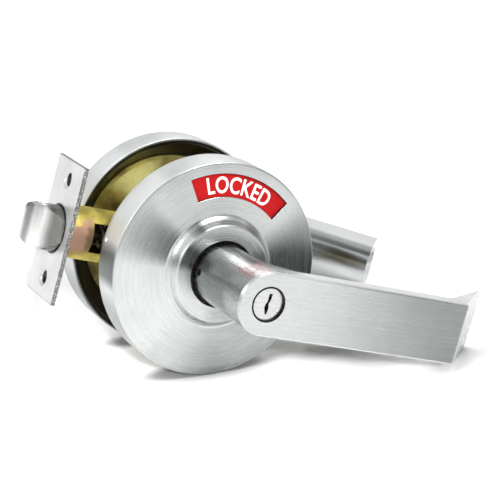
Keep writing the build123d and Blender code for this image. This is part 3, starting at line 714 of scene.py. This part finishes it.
@dataclass(frozen=True)
class Moulded:
    """Plain moulded plastic with a faint texture."""

    name: str
    colour: Colour
    roughness: float = 0.45

    def material(self) -> Material:
        """Slight clouding, and pimples a few tenths of a millimetre wide."""
        tree = Tree.material(self.name)
        pimple = tree.cloud(0.3, 1.0)
        return tree.surface(
            Base_Color=tree.blend(tree.cloud(4.0), dimmed(self.colour, 0.82), self.colour),
            Roughness=pimple * 0.15 + self.roughness,
            Normal=tree.bump(pimple, 0.01),
        )


@dataclass(frozen=True)
class SignPaint:
    """Enamel of the status disc: red in the window's quarter and green in the rest."""

    name: str
    red: Colour
    green: Colour
    centre: float
    half_angle: float = 45.0
    edge_blur: float = 0.01
    roughness: float = 0.42
    gloss: float = 0.08

    def material(self) -> Material:
        """The angle from the window's middle, as a cosine, parts red from green."""
        tree = Tree.material(self.name)
        edge = math.cos(math.radians(self.half_angle))
        on_red = tree.cosine_from(self.centre).step(edge - self.edge_blur, edge + self.edge_blur)
        cloud = tree.cloud(9.0)
        red = tree.blend(cloud, dimmed(self.red, 0.86), self.red)
        return tree.surface(
            Base_Color=tree.blend(on_red, self.green, red),
            Roughness=cloud * 0.1 + self.roughness,
            Specular_IOR_Level=self.gloss,
            Normal=tree.bump(tree.cloud(0.5), 0.006),
        )


@lru_cache(maxsize=None)
def material_of(finish: Any) -> Material:
    """The finish's material, made once."""
    return finish.material()


def dress(piece: Object, finish: Any) -> None:
    """Give a piece or a CAD node one finish, in all its material slots.

    Args:
        piece: the object.
        finish: one of the finish classes.
    """
    material = material_of(finish)
    if not piece.material_slots:
        piece.data.materials.append(material)
    for place in piece.material_slots:
        place.material = material


ROSE_CHROME = RoseChrome(
    "rose_chrome",
    Grain.TURNED,
    light=(0.67, 0.69, 0.68),
    dark=(0.16, 0.17, 0.17),
    roughness=0.27,
    line=0.26,
    line_depth=0.045,
    contrast=0.30,
    run=60.0,
    # painted reflection and shade of the turned finish
    sectors=several(
        PaintedSector, (285.0, 21.0, -0.78, 16.0), (80.0, 42.0, -0.66), (148.0, 52.0, -0.34), (238.0, 44.0, 0.03)
    ),
    collar_sectors=several(
        PaintedSector, (297.0, 26.0, 0.6), (315.0, 12.0, -0.8), (355.0, 18.0, -0.35), (80.0, 42.0, -0.5)
    ),
    wall_sectors=several(
        PaintedSector,
        (293.0, 30.0, 0.65),
        (335.0, 20.0, 0.1),
        (355.0, 24.0, -0.25),
        (228.0, 22.0, -0.5),
        (262.0, 14.0, -0.85),
    ),
)
LEVER_CHROME = LeverChrome(
    "lever_chrome",
    light=(0.64, 0.66, 0.65),
    dark=(0.18, 0.19, 0.19),
    roughness=0.27,
    run=34.0,
    contrast=0.26,
    streak=0.3,
    # painted reflections on the neck
    neck_sectors=several(
        PaintedSector, (-16.0, 16.0, -0.80), (12.0, 26.0, -0.35), (-62.0, 14.0, -0.30), (-110.0, 32.0, -0.50)
    ),
)
INSIDE_LEVER_CHROME = LeverChrome(
    "inside_lever_chrome",
    light=(0.80, 0.82, 0.81),
    dark=(0.10, 0.11, 0.11),
    roughness=0.20,
    line_depth=0.02,
    run=22.0,
    contrast=0.35,
    streak=0.4,
    # painted reflections: the fade and the stripes on the back
    fade=(5.0, 91.0, 0.1),
    back_reflection_stripes=several(
        PaintedStripe, (11.5, 3.2, 0.45), (6.6, 2.6, -0.25), (3.8, 3.8, -0.55), (-2.5, 3.0, -0.15)
    ),
)
PLATE_CHROME = PlateChrome(
    "plate_chrome",
    Grain.ALONG_Z,
    light=(0.95, 0.96, 0.97),
    dark=(0.10, 0.10, 0.09),
    roughness=0.34,
    contrast=0.2,
)
BOLT_CHROME = BoltChrome(
    "bolt_chrome",
    Grain.ALONG_Z,
    light=(1.0, 1.0, 0.99),
    dark=(0.22, 0.22, 0.21),
    roughness=0.26,
    line=0.25,
    line_depth=0.02,
    contrast=0.3,
    # painted reflection strips on the slanted face
    reflection_bands=several(PaintedStripe, (-69.3, 2.6, 0.35), (-72.0, 1.0, -0.45), (-62.5, 5.0, -0.75)),
)
PLUG_NICKEL = Brushed(
    "plug_nickel",
    Grain.ALONG_X,
    light=(0.60, 0.61, 0.60),
    dark=(0.37, 0.38, 0.37),
    roughness=0.28,
    line=0.20,
    line_depth=0.01,
)
YELLOW_ZINC = YellowZinc("yellow_zinc")
DISH_ZINC = DishZinc("dish_zinc")
CASE_ZINC = CaseZinc("case_zinc", (0.40, 0.25, 0.185), (0.62, 0.53, 0.14), (0.34, 0.285, 0.07), 0.50)
WHITE_ZINC = PlainMetal("white_zinc", (0.66, 0.68, 0.72), (0.44, 0.46, 0.50))
SPRING_STEEL = PlainMetal("spring_steel", (0.42, 0.42, 0.43), (0.25, 0.25, 0.26), 0.3)
BRASS = PlainMetal("brass", (0.78, 0.60, 0.27), (0.58, 0.42, 0.17), 0.3)
NYLON = Moulded("nylon", (0.86, 0.84, 0.78))
# white print of the words, and the painted glint on the pierced hole's rim
WHITE_INK_AND_GLINT = Moulded("white_ink_and_glint", (0.92, 0.92, 0.90), 0.35)
# dark brown that paints shade on the latch's tail and spring, seen through the case's window
PAINTED_SHADE_BROWN = PlainMetal("painted_shade_brown", (0.28, 0.23, 0.16), (0.14, 0.115, 0.08), 0.5)
# black oxide of the cylinder, plug ring and catches, and painted shade on the window's cut walls and the
# spring drivers
BLACK_OXIDE_AND_SHADE = PlainMetal("black_oxide_and_shade", (0.035, 0.030, 0.028), (0.012, 0.010, 0.010), 0.45)


# Surfaces

def circle(count: int) -> np.ndarray:
    """Angles that part a full turn evenly, in radians."""
    return np.linspace(0, 2 * math.pi, count, endpoint=False)


def rounded(corners: np.ndarray, radii: np.ndarray, steps: int = 6) -> np.ndarray:
    """Round an outline's corners.

    Each corner P becomes the parabola P + (1-s)^2 a + s^2 b, where a and b run from P along its two
    sides for the length that a fillet of its radius would take.

    Args:
        corners: (n, 2) points of a closed outline.
        radii: (n,) fillet radii, 0 for a sharp corner.
        steps: points on each rounded corner.

    Returns:
        (m, 2) points of the closed outline, without repeats.
    """
    before = np.roll(corners, 1, axis=0) - corners
    after = np.roll(corners, -1, axis=0) - corners
    before /= np.linalg.norm(before, axis=1, keepdims=True)
    after /= np.linalg.norm(after, axis=1, keepdims=True)
    half = np.arccos(np.clip((before * after).sum(1), -1, 1)) / 2
    reach = (radii / np.tan(half))[:, None, None]
    share = np.linspace(0, 1, steps)[None, :, None]
    bent = (1 - share) ** 2 * before[:, None] + share**2 * after[:, None]
    points = (corners[:, None] + reach * bent).reshape(-1, 2)
    apart = np.linalg.norm(points - np.roll(points, 1, axis=0), axis=1)
    return points[apart > 1e-6]


def loop_faces(rows: int, columns: int) -> np.ndarray:
    """Quads of a grid that closes on itself both ways, as (rows, columns, 4) vertex numbers."""
    row, column = np.meshgrid(np.arange(rows), np.arange(columns), indexing="ij")
    next_row, next_column = (row + 1) % rows, (column + 1) % columns
    corners = [(row, column), (row, next_column), (next_row, next_column), (next_row, column)]
    return np.stack([first * columns + second for first, second in corners], axis=-1)


def raw_mesh(name: str, points: np.ndarray, *faces: np.ndarray) -> Mesh:
    """Write a mesh.

    Args:
        name: the mesh's name.
        points: places in millimetres, in an array of any shape that ends in 3.
        faces: arrays of vertex numbers that end in the number of a face's corners.

    Returns:
        The mesh.
    """
    mesh = bpy.data.meshes.new(name)
    rows = [row for block in faces for row in block.reshape(-1, block.shape[-1]).tolist()]
    mesh.from_pydata((points.reshape(-1, 3) * MM).tolist(), [], rows)
    return mesh


def smoothed(name: str, mesh: Mesh) -> Object:
    """Smooth a mesh between its sharp edges, and link it as an object."""
    mesh.shade_smooth()
    mesh.set_sharp_from_angle(angle=SMOOTH_BELOW)
    return link(name, mesh)


def put_mesh(name: str, points: np.ndarray, *faces: np.ndarray) -> Object:
    """Make a piece of a closed mesh, its faces turned outwards.

    Args:
        name: the piece's name.
        points: places in millimetres, as for raw_mesh.
        faces: vertex numbers, as for raw_mesh; without them the points are a grid that closes both ways.

    Returns:
        The new object, linked to the scene.
    """
    mesh = raw_mesh(name, points, *(faces or [loop_faces(*points.shape[:2])]))
    with welded(mesh, 1e-7) as work:
        bmesh.ops.recalc_face_normals(work, faces=work.faces)
    return smoothed(name, mesh)


def round_rims(piece: Object, width: float) -> None:
    """Round a piece's sharp rims with a Bevel modifier of that width in millimetres."""
    bevel = piece.modifiers.new("rims", "BEVEL")
    configured(bevel, width=width * MM, segments=2, limit_method="ANGLE", harden_normals=True)
    bevel.angle_limit = ROUNDED_ABOVE


def softened(node_name: str, finish: Any, width: float, body: str) -> Object:
    """Stand a copy of a node in its place, with the rims rounded.

    The copy's loose triangles are joined, the diagonals of its flat faces are dissolved, and the
    sharp edges that are left are bevelled.

    Args:
        node_name: the node.
        finish: the copy's finish.
        width: the rims' width in millimetres.
        body: the body that it rides on.

    Returns:
        The copy.
    """
    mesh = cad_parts[node_name].data.copy()
    mesh.name = node_name + "_soft"
    with welded(mesh, 2e-6) as work:
        bmesh.ops.dissolve_limit(work, angle_limit=math.radians(0.4), verts=work.verts, edges=work.edges)
    if "custom_normal" in mesh.attributes:
        mesh.attributes.remove(mesh.attributes["custom_normal"])
    piece = smoothed(mesh.name, mesh)
    round_rims(piece, width)
    dress(piece, finish)
    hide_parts(node_name)
    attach(piece, body)
    log.info("%s: %d faces", piece.name, len(mesh.polygons))
    return piece


def turned(outline: np.ndarray, angles: np.ndarray) -> np.ndarray:
    """Carry an outline round the spindle axis: (r, d) at angle t becomes (r sin t, -d, r cos t)."""
    radius, depth = outline[:, :1], outline[:, 1:]
    return np.stack([radius * np.sin(angles), -depth * np.ones_like(angles), radius * np.cos(angles)], -1)


# Studio

def aim(lamp: Object, place: Vector3) -> None:
    """Place a lamp and turn its -Z axis to the origin."""
    lamp.location = place
    lamp.rotation_euler = (-lamp.location).to_track_quat("-Z", "Y").to_euler()


@dataclass
class Softbox:
    """A square area light that looks at the lock."""

    name: str
    centre: Vector3
    side: float
    power: float

    def build(self) -> None:
        """Place the lamp; only metal shows it."""
        data = configured(bpy.data.lights.new(self.name, "AREA"), size=self.side, energy=self.power)
        aim(link(self.name, data, visible_diffuse=False), self.centre)


@dataclass
class Sun:
    """A soft distant light, which may shine on metal alone or on matt surfaces alone."""

    name: str
    direction: Vector3
    strength: float
    spread: float
    on_metal: bool = True
    on_matt: bool = True

    def build(self) -> None:
        """Aim the light from its direction at the lock; the spread is in degrees."""
        data = configured(bpy.data.lights.new(self.name, "SUN"), energy=self.strength)
        data.angle = math.radians(self.spread)
        lamp = link(self.name, data, visible_glossy=self.on_metal, visible_diffuse=self.on_matt)
        aim(lamp, self.direction)


@dataclass
class Studio:
    """Camera, pale floor and soft light round the lock as it lies on its roses and lever tips."""

    camera_place: Vector3 = (-0.33202, -0.62871, 0.12540)
    camera_turn: Vector3 = (80.2370, -15.1025, -27.3748)
    lens: float = 123.07
    floor_tilt: float = 16.07
    floor_drop: float = 45.25
    floor_length: Pair = (-260.0, 150.0)
    floor_width: Pair = (-260.0, 260.0)
    floor_paint: tuple[Colour, Colour] = ((0.90, 0.90, 0.90), (0.93, 0.93, 0.93))
    contact_reach: float = 32.0
    contact_steps: Pair = (0.30, 0.72)
    contact_shade: Colour = (0.20, 0.20, 0.20)
    matt_suns: tuple[tuple[str, Vector3, float, float], ...] = (
        ("from_camera", (-0.375, -0.87, 0.32), 4.6, 6.0),
        ("from_front_right", (0.41, -0.83, 0.37), 1.1, 8.0),
        ("from_right", (0.79, -0.40, 0.45), 1.3, 8.0),
        ("from_front_left", (-0.81, -0.50, 0.29), 1.5, 8.0),
        ("from_left", (-0.975, -0.09, 0.21), 1.5, 8.0),
        ("from_low_left", (-0.985, 0.155, -0.03), 1.9, 6.0),
        ("from_behind_left", (-0.57, 0.50, 0.64), 0.93, 8.0),
        ("from_above", (-0.23, -0.31, 0.92), 0.17, 20.0),
    )
    softboxes: tuple[tuple[str, Vector3, float, float], ...] = (
        ("left_light", (-1.10, -0.60, 0.35), 0.4, 3.0),
        ("back_light", (0.55, 1.20, 0.90), 0.5, 3.0),
    )
    sky_lift: float = 0.05
    sky: tuple[Pair, ...] = (
        (0.04, 1.40),
        (0.05, 1.10),
        (0.14, 0.85),
        (0.25, 0.25),
        (0.37, 0.28),
        (0.55, 0.85),
    )

    def build(self) -> None:
        """Make the camera, the floor, the world and the lamps."""
        self.build_camera()
        self.build_floor()
        self.build_world()
        lamps = [Sun("key", (0.10, -0.75, 1.0), 2.55, 16.0, on_matt=False)]
        lamps += [Sun(*row, on_metal=False) for row in self.matt_suns]
        lamps += [Softbox(*row) for row in self.softboxes]
        for lamp in lamps:
            lamp.build()
            log.info("lamp %s", lamp.name)

    def build_camera(self) -> None:
        """The photograph's viewpoint and field of view."""
        data = bpy.data.cameras.new("camera")
        configured(data, lens=self.lens, sensor_width=36.0, clip_end=100.0)
        turn = [math.radians(angle) for angle in self.camera_turn]
        bpy.context.scene.camera = link("camera", data, location=self.camera_place, rotation_euler=turn)

    def build_floor(self) -> None:
        """A sheet tangent to the roses' lowest line: p = drop n + u a + v b, a and b in the plane.

        It carries a painted contact shadow: its colour is darker close to the lock, where little of the
        sky reaches it.
        """
        tilt = math.radians(self.floor_tilt)
        normal = np.array([-math.sin(tilt), 0.0, math.cos(tilt)])
        along = np.array([math.cos(tilt), 0.0, math.sin(tilt)])
        sideways = np.array([0.0, 1.0, 0.0])
        u, v = (np.linspace(*reach, 3) for reach in (self.floor_length, self.floor_width))
        points = -self.floor_drop * normal + u[:, None, None] * along + v[None, :, None] * sideways
        floor = link("floor", raw_mesh("floor", points, loop_faces(3, 3)[:-1, :-1]))
        tree = Tree.material("pale_floor")
        pale = tree.blend(tree.cloud(90.0), *self.floor_paint)
        reach = {"Distance": self.contact_reach * MM}
        # painted contact shadow from ambient occlusion
        occlusion = tree.add("ShaderNodeAmbientOcclusion", {"samples": 16}, reach)
        open_sky = Term(tree, occlusion.outputs["AO"]).step(*self.contact_steps)
        paint = tree.blend(open_sky, self.contact_shade, pale)
        floor.data.materials.append(tree.surface(Base_Color=paint, Roughness=0.6, Specular_IOR_Level=0.2))

    def build_world(self) -> None:
        """Surroundings that are bright overhead and dark at the horizon.

        The height above the floor, as the sine of the view's elevation plus a lift, picks the brightness.
        """
        world = bpy.data.worlds.new("studio")
        tree = Tree(world)
        tilt = math.radians(self.floor_tilt)
        coordinates = tree.add("ShaderNodeTexCoord")
        up = (-math.sin(tilt), 0.0, math.cos(tilt))
        sockets = {0: coordinates.outputs["Generated"], 1: up}
        height = tree.add("ShaderNodeVectorMath", {"operation": "DOT_PRODUCT"}, sockets)
        lifted = Term(tree, height.outputs["Value"]) + self.sky_lift
        ramp = tree.add("ShaderNodeValToRGB", sockets={0: lifted})
        stops = ramp.color_ramp.elements
        while len(stops) < len(self.sky):
            stops.new(0.5)
        for stop, (place, level) in zip(stops, self.sky):
            configured(stop, position=place, color=(level, level, level, 1.0))
        shader = tree.add("ShaderNodeBackground", sockets={"Color": ramp.outputs[0]})
        tree.add("ShaderNodeOutputWorld", sockets={0: shader.outputs[0]})
        world.cycles_visibility.diffuse = False
        bpy.context.scene.world = world
        bpy.context.scene.view_settings.view_transform = "Standard"


# Sub-assemblies

@dataclass
class Roses:
    """The two spun roses: stepped collar, shallow cone, rolled edge, and the outside one's window."""

    sheet: float = 1.2
    wall_length: float = 14.65
    cone_foot: Pair = (23.4, 31.9)
    collar_radius: float = 20.4
    hole_radius: float = 14.0
    edge_width: float = 0.9
    window_radii: Pair = (31.0, 40.4)
    window_turn: float = 2.2
    window_half_angle: float = 34.2
    window_margin: float = 0.3
    columns_in_window: int = 56
    columns_round: int = 216

    def __post_init__(self) -> None:
        """Take the rose's outer sizes from the frame."""
        low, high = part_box("outside_rose")
        self.radius = high.z / MM
        self.rim_depth = -high.y / MM
        self.collar_depth = -low.y / MM
        self.face_depth = self.rim_depth + self.wall_length

    def cone_depth(self, radius: float | np.ndarray) -> float | np.ndarray:
        """Depth of the outer cone at a radius: a straight line from the edge to the collar's foot."""
        edge = self.radius - self.edge_width
        foot_radius, foot_depth = self.cone_foot
        return self.face_depth + (edge - radius) / (edge - foot_radius) * (foot_depth - self.face_depth)

    def outline(self) -> np.ndarray:
        """Closed section from the neck's hole over the face to the rim and back inside."""
        sheet, edge = self.sheet, self.edge_width
        foot_radius, foot_depth = self.cone_foot
        inner, outer = self.window_radii
        face = [(radius, self.cone_depth(radius), 0.0) for radius in (inner, outer)]
        back = [(radius, depth - sheet, 0.0) for radius, depth, _ in reversed(face)]
        corners = np.array(
            [
                (self.hole_radius, self.collar_depth, 0.3),
                (self.collar_radius, self.collar_depth, 1.3),
                (self.collar_radius + 1.6, foot_depth + 1.2, 1.2),
                (foot_radius, foot_depth, 1.8),
                *face,
                (self.radius - edge * 0.1, self.face_depth - 0.02, edge * 1.05),
                (self.radius, self.rim_depth, 0.35),
                (self.radius - sheet, self.rim_depth, 0.35),
                (self.radius - sheet, self.face_depth - sheet, 0.8),
                *back,
                (foot_radius - 1, foot_depth - sheet, 1.0),
                (self.collar_radius - sheet, self.collar_depth - sheet, 0.6),
                (self.hole_radius, self.collar_depth - sheet, 0.3),
            ]
        )
        return rounded(corners[:, :2], corners[:, 2])

    def angles(self) -> np.ndarray:
        """Angles round the rose, closer in the window, whose two ends are among them."""
        start, end = self.window_ends()
        around = np.linspace(end, start + 360, self.columns_round + 1)
        window = np.linspace(start, end, self.columns_in_window)[:-1]
        return np.radians(np.concatenate([window, around[:-1]]))

    def window_ends(self) -> Pair:
        """Degrees clockwise from +Z at which the window starts and ends."""
        return self.window_turn - self.window_half_angle, self.window_turn + self.window_half_angle

    def window_walls(self, outline: np.ndarray, angles: np.ndarray) -> tuple[np.ndarray, np.ndarray]:
        """Find the faces that the window removes, and its four walls.

        Args:
            outline: the section's points.
            angles: radians of the columns.

        Returns:
            A (rows, columns) mask of removed faces, and the walls' quads.
        """
        columns = len(angles)
        start, end = (int(np.argmin(np.abs(np.degrees(angles) - angle))) for angle in self.window_ends())
        inner, outer = (np.flatnonzero(np.isclose(outline[:, 0], radius)) for radius in self.window_radii)
        removed = np.zeros((len(outline), columns), bool)
        removed[inner[0] : outer[0], start:end] = True
        removed[outer[1] : inner[1], start:end] = True
        arc = np.arange(start, end)
        walls = [
            np.stack([a + arc, a + arc + 1, b + arc + 1, b + arc], -1)
            for a, b in (inner[:2] * columns, outer[:2] * columns)
        ]
        corners = np.array([inner[0], outer[0], outer[1], inner[1]]) * columns
        ends = [corners[None, :] + column for column in (start, end)]
        return removed, np.concatenate(walls + ends)

    def shade_window_walls(self, rose: Object) -> None:
        """Give the window's cut walls painted shade, the dark second material: the faces whose normals
        lie level.

        A wall's middle is at one of the window's radii or angles, and its normal has no part along
        the spindle axis; only such faces near the window are taken.
        """
        polygons = rose.data.polygons
        x, _, z = vectors(polygons, "center").T / MM
        radius = np.hypot(x, z)
        turn = np.degrees(np.arctan2(x, z)) - self.window_turn
        inner, outer = self.window_radii
        level = np.abs(vectors(polygons, "normal")[:, 1]) < 0.3
        near = (radius > inner - self.window_margin) & (radius < outer + self.window_margin)
        near &= np.abs(turn) < self.window_half_angle + 0.5
        polygons.foreach_set("material_index", (level & near).astype(np.int32))
        rose.data.update()

    def build(self) -> None:
        """Turn both roses, cut the window in the outside one, and dress them."""
        outline, angles = self.outline(), self.angles()
        points = turned(outline, angles)
        faces = loop_faces(len(outline), len(angles))
        removed, walls = self.window_walls(outline, angles)
        outside = put_mesh("rose_outside", points, faces[~removed], walls)
        inside = put_mesh("rose_inside", points * [1, -1, 1])
        for piece, node in ((outside, "outside_rose"), (inside, "inside_rose")):
            round_rims(piece, 0.18)
            dress(piece, ROSE_CHROME)
            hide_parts(node)
            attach(piece, "chassis")
            log.info("%s: turned section of %d points", piece.name, len(outline))
        # second material: painted shade on the window's cut walls
        outside.data.materials.append(material_of(BLACK_OXIDE_AND_SHADE))
        self.shade_window_walls(outside)


@dataclass
class PiercedHole:
    """The raised rim of a small blind hole in the outside rose's wall, near its open end, whose white
    paints a glint.
    """

    angle: float = 273.0
    depth: float = 17.2
    major: float = 0.62
    minor: float = 0.22
    sunk: float = 0.55
    steps: tuple[int, int] = (10, 28)

    def build(self, roses: Roses) -> None:
        """A torus that stands half out of the wall.

        Its centre c lies on the wall; a point is c + (M + m cos v)(t cos u + a sin u) + n m sin v, with
        t along the wall's circle, a along the spindle axis and n out of the wall.
        """
        turn = math.radians(self.angle)
        out = np.array([math.sin(turn), 0.0, math.cos(turn)])
        tangent = np.array([math.cos(turn), 0.0, -math.sin(turn)])
        axis = np.array([0.0, 1.0, 0.0])
        rows, columns = self.steps
        v, u = circle(rows)[:, None, None], circle(columns)[None, :, None]
        points = out * (roses.radius - self.minor * self.sunk) - axis * self.depth
        points = points + (self.major + self.minor * np.cos(v)) * (tangent * np.cos(u) + axis * np.sin(u))
        points = points + out * self.minor * np.sin(v)
        piece = put_mesh("pierced_hole_rim", points)
        # the white rim is a painted glint
        dress(piece, WHITE_INK_AND_GLINT)
        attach(piece, "chassis")
        log.info("pierced hole at %.1f degrees", self.angle)


@dataclass
class StatusSign:
    """The painted disc behind the window and the raised white words on it."""

    red: Colour = (0.31, 0.009, 0.009)
    green: Colour = (0.012, 0.16, 0.05)
    letter_height: float = 6.8
    narrowing: float = 0.80
    middle_radius: float = 35.55
    ink: float = 0.04
    root: float = 0.2
    disc_gap: float = 0.35
    locked_word: str = "LOCKED"
    open_word: str = "OPEN"

    def word(self, text: str, name: str, centre: float, roses: Roses) -> Object:
        """Set a word along the disc's arc.

        The word is set flat first. A point (x, y) of it then goes to radius R + y at the angle
        centre + x / R, on the disc's cone.

        Args:
            text: the word.
            name: the piece's name.
            centre: degrees clockwise from +Z at the word's middle.
            roses: gives the depth of the cone that the disc runs under.

        Returns:
            The lettering.
        """
        curve = configured(bpy.data.curves.new(name, "FONT"), body=text, align_x="CENTER", size=1.0)
        configured(curve, offset=0.012, space_character=1.06, extrude=0.5, resolution_u=4)
        flat = link(name + "_flat", curve)
        bpy.context.view_layer.update()
        mesh = bpy.data.meshes.new_from_object(flat.evaluated_get(bpy.context.evaluated_depsgraph_get()))
        bpy.data.objects.remove(flat)
        x, y, lift = vectors(mesh.vertices, "co").T.astype(float)
        scale = self.letter_height / (y.max() - y.min())
        y = (y - (y.max() + y.min()) / 2) * scale
        x = (x - (x.max() + x.min()) / 2) * scale * self.narrowing
        radius = self.middle_radius + y
        angle = math.radians(centre) + x / self.middle_radius
        depth = roses.cone_depth(radius) - roses.sheet - self.disc_gap
        depth = depth + (lift > 0) * self.ink - (lift < 0) * self.root
        bent = np.stack([radius * np.sin(angle), -depth, radius * np.cos(angle)], axis=-1) * MM
        mesh.vertices.foreach_set("co", bent.ravel().astype(np.float32))
        mesh.update()
        mesh.name = name
        return link(name, mesh)

    def build(self, roses: Roses) -> None:
        """Paint the disc and set both words on it."""
        turn = roses.window_turn
        dress(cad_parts["indicator_disc"], SignPaint("sign_paint", self.red, self.green, turn))
        for text, name, centre in (
            (self.locked_word, "word_on_red", turn),
            (self.open_word, "word_on_green", turn - 90),
        ):
            piece = self.word(text, name, centre, roses)
            piece.data.materials.clear()
            dress(piece, WHITE_INK_AND_GLINT)
            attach(piece, "indicator")
            log.info("%s: %s", piece.name, text)


def bar_section(inner: float, outer: float, start: float, end: float, spread: float = 0.0) -> np.ndarray:
    """Corners of a ring's section, (r, d) in turn; the outer one at its start is spread outwards."""
    return np.array([(inner, start), (outer + spread, start), (outer, end), (inner, end)])


@dataclass
class PlugRing:
    """The black ring between the key plug and the lever."""

    inner: float = 6.45
    outer: float = 7.25
    sink: float = 1.2
    proud: float = 0.06
    fillet: float = 0.15
    columns: int = 96

    def build(self) -> None:
        """Turn a rounded bar section about the plug's axis at the lever's face."""
        face = -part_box("outside_lever")[0].y / MM + self.proud
        corners = bar_section(self.inner, self.outer, face, face - self.sink)
        outline = rounded(corners, np.full(4, self.fillet), 4)
        piece = put_mesh("plug_ring", turned(outline, circle(self.columns)))
        dress(piece, BLACK_OXIDE_AND_SHADE)
        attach(piece, "outside_lever")
        log.info("%s: %.2f to %.2f mm", piece.name, self.inner, self.outer)


@dataclass
class HoleDimples:
    """The lips that pressing the two countersinks pushes out behind the faceplate."""

    hole_height: float = 20.65
    inner: float = 2.45
    outer: float = 3.3
    taper: float = 0.5
    reach: float = 1.6
    columns: int = 48

    def build(self) -> None:
        """Turn a tapering lip about each screw's axis: (r, d) at angle t is (d, r sin t, h + r cos t)."""
        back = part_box("latch_faceplate")[1].x / MM
        corners = bar_section(self.inner, self.outer, back - 0.2, back + self.reach, self.taper)
        outline = rounded(corners, np.array([0.0, 0.0, 0.3, 0.15]), 4)
        lip = turned(outline, circle(self.columns))[..., [1, 0, 2]] * [-1, 1, 1]
        for name, height in (("upper_dimple", self.hole_height), ("lower_dimple", -self.hole_height)):
            piece = put_mesh(name, lip + [0, 0, height])
            dress(piece, PLATE_CHROME)
            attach(piece, "chassis")
            log.info("%s at %.2f mm", name, height)


@dataclass
class CarriedOver:
    """The finishes of the CAD nodes, those that stay and those that a dressed piece replaces."""

    def finishes(self) -> dict[str, Any]:
        """Node name to finish."""
        chosen = {
            "outside_lever": LEVER_CHROME,
            "inside_lever": INSIDE_LEVER_CHROME,
            "turn_button": LEVER_CHROME,
            "latch_faceplate": PLATE_CHROME,
            "latch_bolt": BOLT_CHROME,
            "key_plug": PLUG_NICKEL,
            "cylinder_body": BLACK_OXIDE_AND_SHADE,
            "plug_tailpiece": BRASS,
            # painted shade: the tail and spring behind the case's window are dark brown
            "latch_tail": PAINTED_SHADE_BROWN,
            "latch_spring": PAINTED_SHADE_BROWN,
            "chassis_drum": YELLOW_ZINC,
            "latch_case": CASE_ZINC,
            "retractor_springs": SPRING_STEEL,
        }
        on_each_side = {
            "rose": ROSE_CHROME,
            "liner": DISH_ZINC,
            "hub": YELLOW_ZINC,
            "rod_guide": NYLON,
            "return_spring": SPRING_STEEL,
            "catch_spring": SPRING_STEEL,
            "spindle_clip": SPRING_STEEL,
            # painted shade in the gap round the lever's neck
            "spring_driver": BLACK_OXIDE_AND_SHADE,
            "lever_catch": BLACK_OXIDE_AND_SHADE,
        }
        paired = {f"{side}_{name}": finish for side in SIDES for name, finish in on_each_side.items()}
        return chosen | paired

    def build(self) -> None:
        """Dress every node; what has no finish of its own is white zinc."""
        chosen = self.finishes()
        for name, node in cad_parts.items():
            if name != "indicator_disc":
                dress(node, chosen.get(name, WHITE_ZINC))
        log.info("dressed %d nodes", len(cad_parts))


def main() -> None:
    """Build the studio and the lock's sub-assemblies in order."""
    logging.basicConfig(level=logging.INFO, format="%(name)s: %(message)s", stream=sys.stdout)
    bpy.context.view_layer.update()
    Studio().build()
    CarriedOver().build()
    roses = Roses()
    roses.build()
    StatusSign().build(roses)
    PlugRing().build()
    HoleDimples().build()
    PiercedHole().build(roses)
    softened("outside_lever", LEVER_CHROME, 0.35, "outside_lever")
    softened("inside_lever", INSIDE_LEVER_CHROME, 0.35, "inside_lever")
    softened("latch_faceplate", PLATE_CHROME, 0.2, "chassis")
    softened("latch_bolt", BOLT_CHROME, 0.35, "latch")
    softened("turn_button", LEVER_CHROME, 0.3, "turn_button")


if __name__ == "__main__":
    main()
